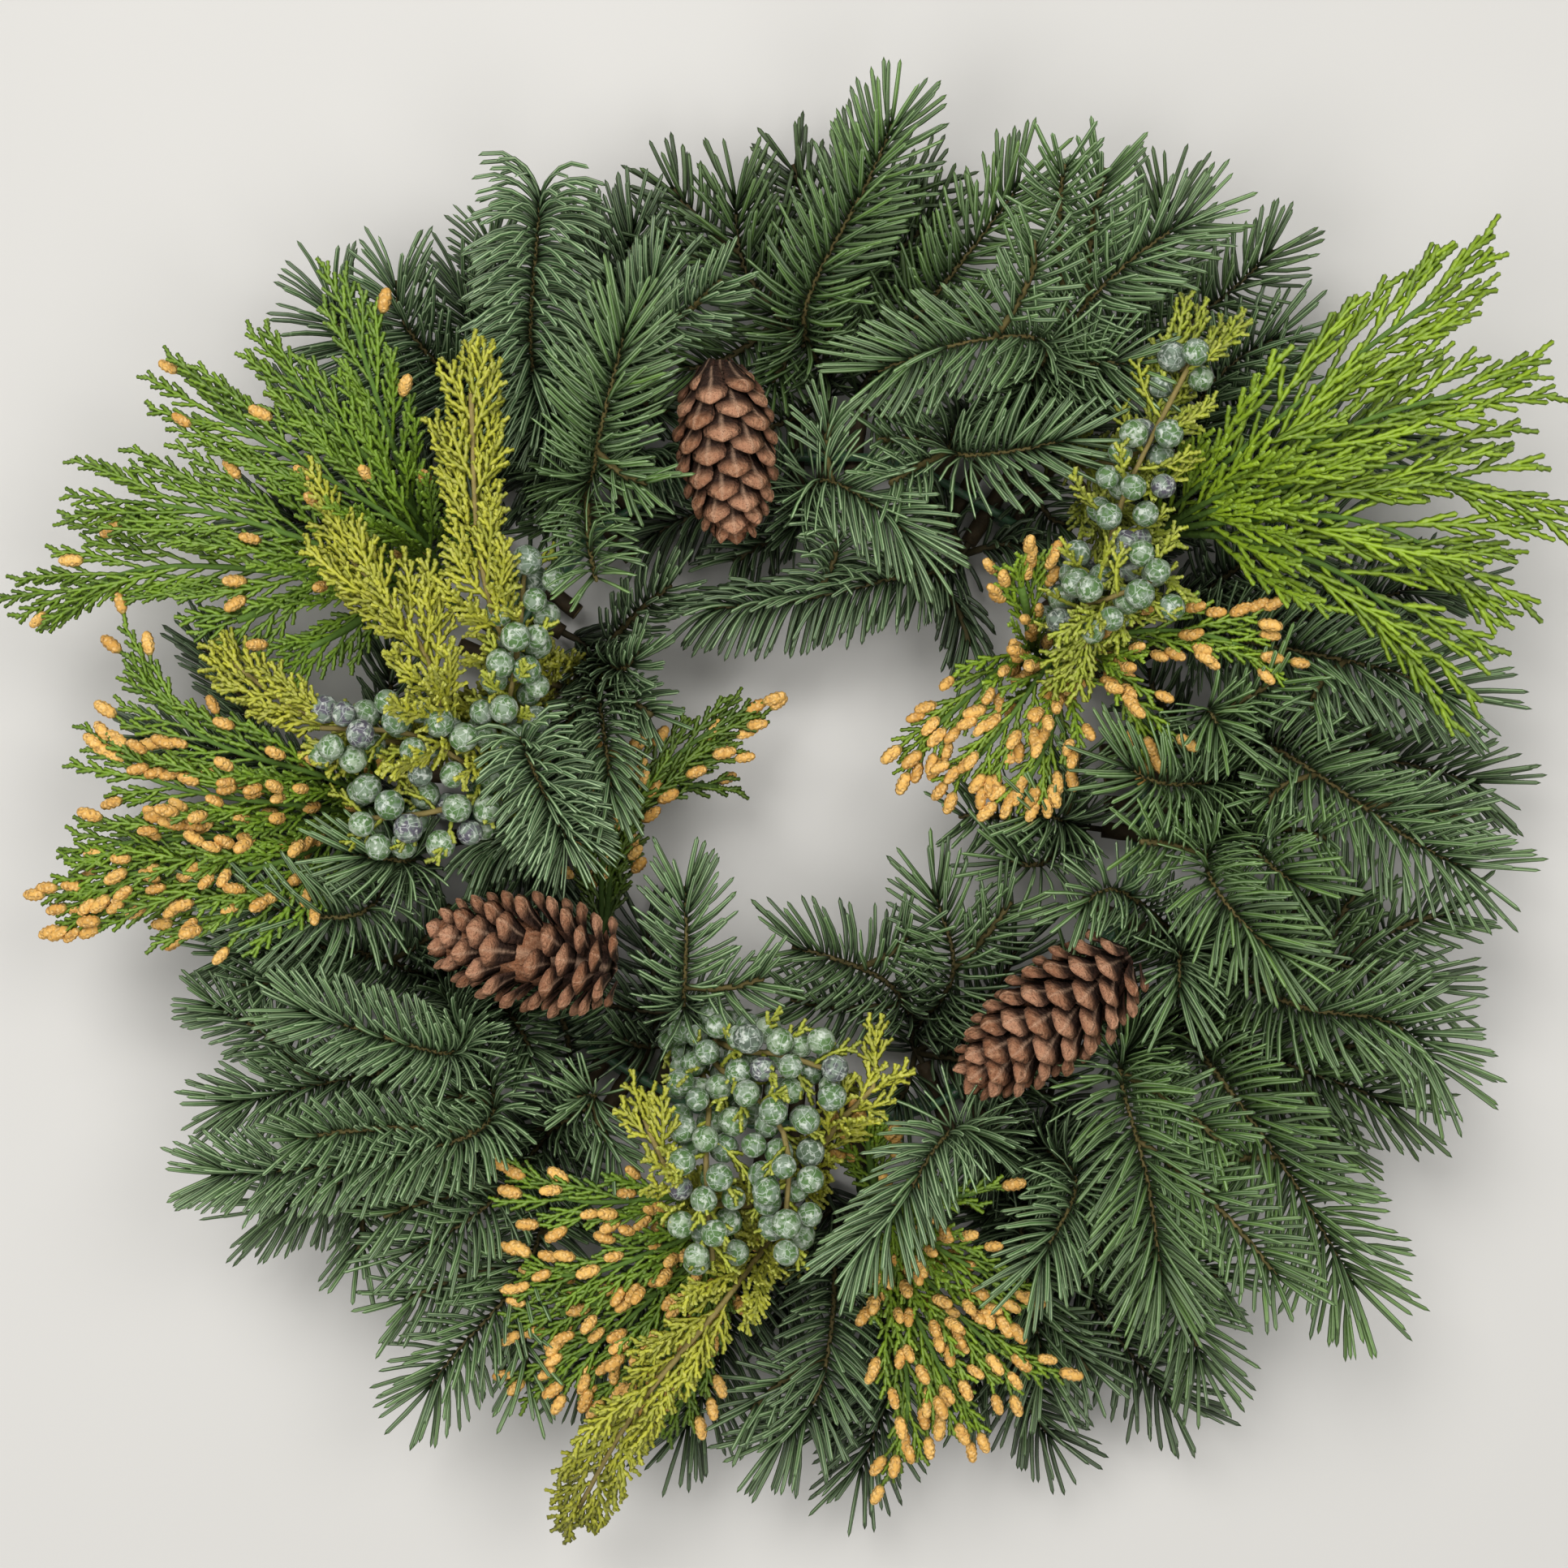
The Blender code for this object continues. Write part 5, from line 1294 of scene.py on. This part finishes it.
def fir_look():
    """Needles with a dark midrib between two pale bands, greener where the growth is young, with painted
    shade towards their roots.
    """
    look = Look("fir_needles", 0.40, 0.45)
    fresh, tint, along, across = look.values("fresh", "tint", "along", "across")
    edge = look.maths("ABSOLUTE", across)
    leaf = look.mix(fresh, (0.040, 0.106, 0.034), (0.100, 0.205, 0.020))
    leaf = look.over(leaf, tint, 0.25, 1, 0.75, (0.010, 0.032, 0.012))
    band = look.maths("MULTIPLY", look.spread(edge, 0.20, 0.36), look.spread(edge, 0.90, 0.68))
    band = look.maths("MULTIPLY", band, look.spread(fresh, 0, 1, 0.82, 0.36))
    leaf = look.mix(band, leaf, (0.420, 0.560, 0.310))
    leaf = look.over(leaf, along, 0.86, 1.0, 0.50, (0.280, 0.370, 0.190))
    # Painted shade: each needle darkens towards its root, in the shade of the needles crowded round the stem
    leaf = look.over(leaf, along, 0.42, 0.05, 0.85, (0.012, 0.026, 0.008))
    grain = look.noise(900, 2)
    leaf = look.over(leaf, grain, 0, 1, 0.25, (0.024, 0.056, 0.024))
    look.colour_with_painted_low_shade(leaf)
    look.bump(look.maths("MULTIPLY", edge, grain), 0.35, 0.0004)
    return look.material


def bark_look():
    look = Look("young_bark", 0.75, 0.25)
    green, golden = look.values("tint", "fresh")
    grain = look.noise(420, 5)
    bark = look.mix(grain, (0.070, 0.036, 0.016), (0.170, 0.098, 0.044))
    bark = look.mix(green, bark, (0.085, 0.170, 0.025))
    bark = look.mix(golden, bark, (0.420, 0.300, 0.110))
    look.colour_with_painted_low_shade(bark)
    look.bump(grain, 0.6, 0.0006)
    return look.material


def scaly_look(look, old, young, shade, tip, seam, tip_from, tip_share, scale_size, seam_share):
    """Scale leaves from an old to a young colour, some in a darker shade, with paler tips and seams."""
    fresh, tint, along = look.values("fresh", "tint", "along")
    leaf = look.mix(fresh, old, young)
    leaf = look.over(leaf, tint, 0, 1, 0.62, shade)
    leaf = look.over(leaf, along, tip_from, 1.0, tip_share, tip)
    seams = look.spread(look.cells(scale_size), 0.0, 0.55)
    leaf = look.over(leaf, seams, 1, 0, seam_share, seam)
    look.colour_with_painted_low_shade(leaf)
    look.bump(seams, 0.5, 0.0004)
    return look.material


def cedar_look():
    return scaly_look(
        Look("cedar_scales", 0.46, 0.42), old=(0.112, 0.222, 0.016), young=(0.270, 0.400, 0.016),
        shade=(0.034, 0.082, 0.010), tip=(0.250, 0.380, 0.070), seam=(0.300, 0.380, 0.120),
        tip_from=0.80, tip_share=0.5, scale_size=620, seam_share=0.35)


def juniper_look():
    return scaly_look(
        Look("juniper_scales", 0.52, 0.35), old=(0.215, 0.320, 0.030), young=(0.560, 0.500, 0.040),
        shade=(0.130, 0.160, 0.020), tip=(0.420, 0.450, 0.120), seam=(0.560, 0.520, 0.200),
        tip_from=0.75, tip_share=0.6, scale_size=760, seam_share=0.40)


def berry_look():
    """Green berries under a blue-white bloom that is rubbed off in spots, some ripening to purple."""
    look = Look("juniper_berries", 0.62, 0.30)
    tint, = look.values("tint")
    skin = look.mix(look.spread(tint, 0.80, 0.95), (0.070, 0.150, 0.040), (0.075, 0.065, 0.095))
    bloom = look.mix(look.spread(tint, 0, 0.8), (0.300, 0.375, 0.260), (0.170, 0.225, 0.170))
    cover = look.spread(look.noise(420, 5, 1.8), 0.32, 0.74, 0.05, 0.90)
    paint = look.mix(cover, skin, bloom)
    paint = look.over(paint, look.noise(650, 3, 1.6), 0.62, 1.0, 0.60, (0.680, 0.720, 0.660))
    paint = look.over(paint, look.cells(330, "DISTANCE_TO_EDGE"), 0.05, 0.0, 0.4, (0.680, 0.740, 0.700))
    look.colour(paint)
    look.bump(cover, 0.25, 0.0005)
    return look.material


def catkin_look():
    """Pollen cones: tan scales with pale seams, brown in spots and green at the foot."""
    look = Look("pollen_cones", 0.72, 0.25)
    tint, along = look.values("tint", "along")
    skin = look.mix(tint, (0.760, 0.450, 0.120), (0.540, 0.280, 0.060))
    seams = look.spread(look.cells(880), 0.15, 0.60)
    skin = look.over(skin, seams, 1, 0, 0.60, (0.880, 0.600, 0.260))
    skin = look.over(skin, look.noise(700, 4, 1.4), 0.55, 1.0, 0.6, (0.300, 0.130, 0.030))
    skin = look.over(skin, along, 0.15, 0.0, 0.8, (0.160, 0.150, 0.030))
    look.colour(skin)
    look.bump(seams, 0.7, 0.0006)
    return look.material


def cone_look():
    """Woody scales: red-brown, paler on their ends, with fine streaks, and painted shade that turns them
    near-black at their roots, in the gaps between them.
    """
    look = Look("pine_cone_scales", 0.78, 0.22)
    tint, along, across = look.values("tint", "along", "across")
    edge = look.maths("ABSOLUTE", across)
    wood = look.mix(tint, (0.230, 0.095, 0.045), (0.430, 0.215, 0.125))
    streaks = look.noise(650, 6, 1.3)
    wood = look.over(wood, streaks, 0.35, 1.0, 0.50, (0.470, 0.270, 0.160))
    # Painted shade: each scale goes near-black towards its root, in the gaps between the scales
    wood = look.over(wood, along, 0.46, 0.26, 1.0, (0.022, 0.010, 0.006))
    wood = look.over(wood, edge, 0.62, 1.0, 0.55, (0.120, 0.052, 0.030))
    wood = look.over(wood, edge, 0.22, 0.0, 0.40, (0.560, 0.360, 0.240))
    wood = look.over(wood, look.noise(2400, 3, 1.5), 0.70, 0.95, 0.6, (0.085, 0.040, 0.025))
    look.colour(wood)
    look.bump(streaks, 0.8, 0.0009)
    return look.material


def wire_look():
    look = Look("green_wire", 0.42, 0.5)
    chips = look.spread(look.noise(700, 4, 1.5), 0.75, 0.95)
    paint = look.mix(look.noise(90, 2), (0.025, 0.075, 0.035), (0.040, 0.105, 0.050))
    look.colour(look.mix(chips, paint, (0.110, 0.100, 0.090)))
    look.bump(chips, 0.2, 0.0002)
    return look.material


def floor_look():
    look = Look("pale_table", 0.55, 0.25)
    cloud = look.noise(2.2, 3)
    look.colour(look.mix(cloud, FLOOR_LIGHT, FLOOR_DARK))
    look.bump(look.noise(260, 3), 0.02, 0.0004)
    return look.material


# The whole ring


def build_bough(bough, stems, looks, draw):
    plant = "juniper" if bough.kind == "berry" else bough.kind
    own = [stem for stem in stems if stem.bough is bough]
    wood, leaves, fruit = Sheaf(), Sheaf(), Sheaf()
    add_butt(wood, bough)
    for stem in own:
        add_stem(wood, stem)
        if bough.kind == "fir":
            number = int(bough.name[-2:])
            add_needles(leaves, stem, HABITS.get(number, COMB), FRESHNESS[number], draw)
            continue
        smallest = add_spray(leaves, stem, SPRAYS[bough.name], draw)
        if bough.kind == "cedar":
            add_pollen_cones(fruit, smallest, bough.fruit, draw)
    if bough.kind == "berry":
        add_berries(fruit, own, draw)
    wood.piece(f"{bough.name}_stems", looks["bark"], plant, bough.name)
    leaves.piece(f"{bough.name}_leaves", looks[plant], plant, bough.name)
    if fruit.count and bough.kind == "cedar":
        fruit.piece(f"{bough.name}_pollen_cones", looks["catkin"], plant, bough.name)
    elif fruit.count:
        fruit.piece(f"{bough.name}_fruit", looks["berry"], "juniper_berry", bough.name)


def build_frame(look):
    sheaf = Sheaf()
    angles = np.linspace(0, 360, FINE_RING_STEPS + 1)
    ring = [polar(RING_RADIUS, angle, WIRE_RADIUS) for angle in angles]
    add_wire(sheaf, ring, WIRE_RADIUS, NEARLY_UPRIGHT, FINE_RING_SIDES)
    for clamp in range(CLAMP_COUNT):
        add_wire(sheaf, staple_path(clamp), STAPLE_RADIUS)
    sheaf.piece("wire_ring_and_staples", look, "green_wire", "wire_frame")


def build_floor():
    mesh = bpy.data.meshes.new("table")
    half = FLOOR_SIZE / 2
    corners = [(-half, -half, 0), (half, -half, 0), (half, half, 0), (-half, half, 0)]
    mesh.from_pydata(corners, [], [(0, 1, 2, 3)])
    mesh.materials.append(floor_look())
    made = bpy.data.objects.new("table", mesh)
    bpy.context.scene.collection.objects.link(made)
    made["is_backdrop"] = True


def build_camera():
    camera = bpy.data.cameras.new("camera")
    camera.lens = CAMERA_LENS
    camera.sensor_width = SENSOR_WIDTH
    made = bpy.data.objects.new("camera", camera)
    made.location = (*CAMERA_OVER, CAMERA_HEIGHT)
    bpy.context.scene.collection.objects.link(made)
    bpy.context.scene.camera = made


def build_light():
    bpy.context.scene.view_settings.view_transform = "Standard"
    world = bpy.data.worlds.new("studio")
    bpy.context.scene.world = world
    world.use_nodes = True
    sky = world.node_tree.nodes["Background"]
    sky.inputs["Color"].default_value = SKY_COLOUR
    sky.inputs["Strength"].default_value = SKY_STRENGTH
    for number, (degrees, power) in enumerate(SOFT_BOXES):
        light = bpy.data.lights.new(f"soft_box_{number + 1}", "AREA")
        light.shape = "DISK"
        light.size = SOFT_BOX_SIZE
        light.energy = power
        light.color = SOFT_BOX_COLOUR
        made = bpy.data.objects.new(light.name, light)
        made.location = polar(SOFT_BOX_OUT, degrees, SOFT_BOX_HEIGHT)
        made.rotation_euler = (-made.location).to_track_quat("-Z", "Y").to_euler()
        bpy.context.scene.collection.objects.link(made)


def main():
    build_camera()
    build_light()
    build_floor()
    looks = {
        "fir": fir_look(), "cedar": cedar_look(), "juniper": juniper_look(), "berry": berry_look(),
        "catkin": catkin_look(), "bark": bark_look(), "cone": cone_look(), "wire": wire_look(),
    }
    build_frame(looks["wire"])
    fixed = frame_rods()
    for number, cone in enumerate(CONES):
        path = pick_path(cone)
        fixed += cone_rods(cone) + path_rods(path, [PICK_RADIUS] * len(path))
        pick, scales = Sheaf(), Sheaf()
        add_wire(pick, path, PICK_RADIUS)
        pick.piece(f"{cone.name}_pick_wire", looks["wire"], "green_wire", f"{cone.name}_pick")
        add_cone(scales, cone, np.random.default_rng([SEED, 1, number]))
        scales.piece(f"{cone.name}_scales", looks["cone"], "pine_cone", cone.name)
    for bough in BOUGHS:
        cut_end, mouth = butt_ends(bough)
        fixed.append(Rod(cut_end, mouth, BUTT_RADIUS, bough.name))
    stems = lay_stems()
    settle(stems, fixed)
    stems += fill_fans(stems)
    stems += add_side_shoots(stems)
    for number, bough in enumerate(BOUGHS):
        build_bough(bough, stems, looks, np.random.default_rng([SEED, 2, number]))


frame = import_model()
cad_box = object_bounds()
main()
bpy.context.view_layer.update()
sizes = {"cad": cad_box, "visual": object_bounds()}
{name: [[float(x) for x in corner] for corner in box] for name, box in sizes.items()}
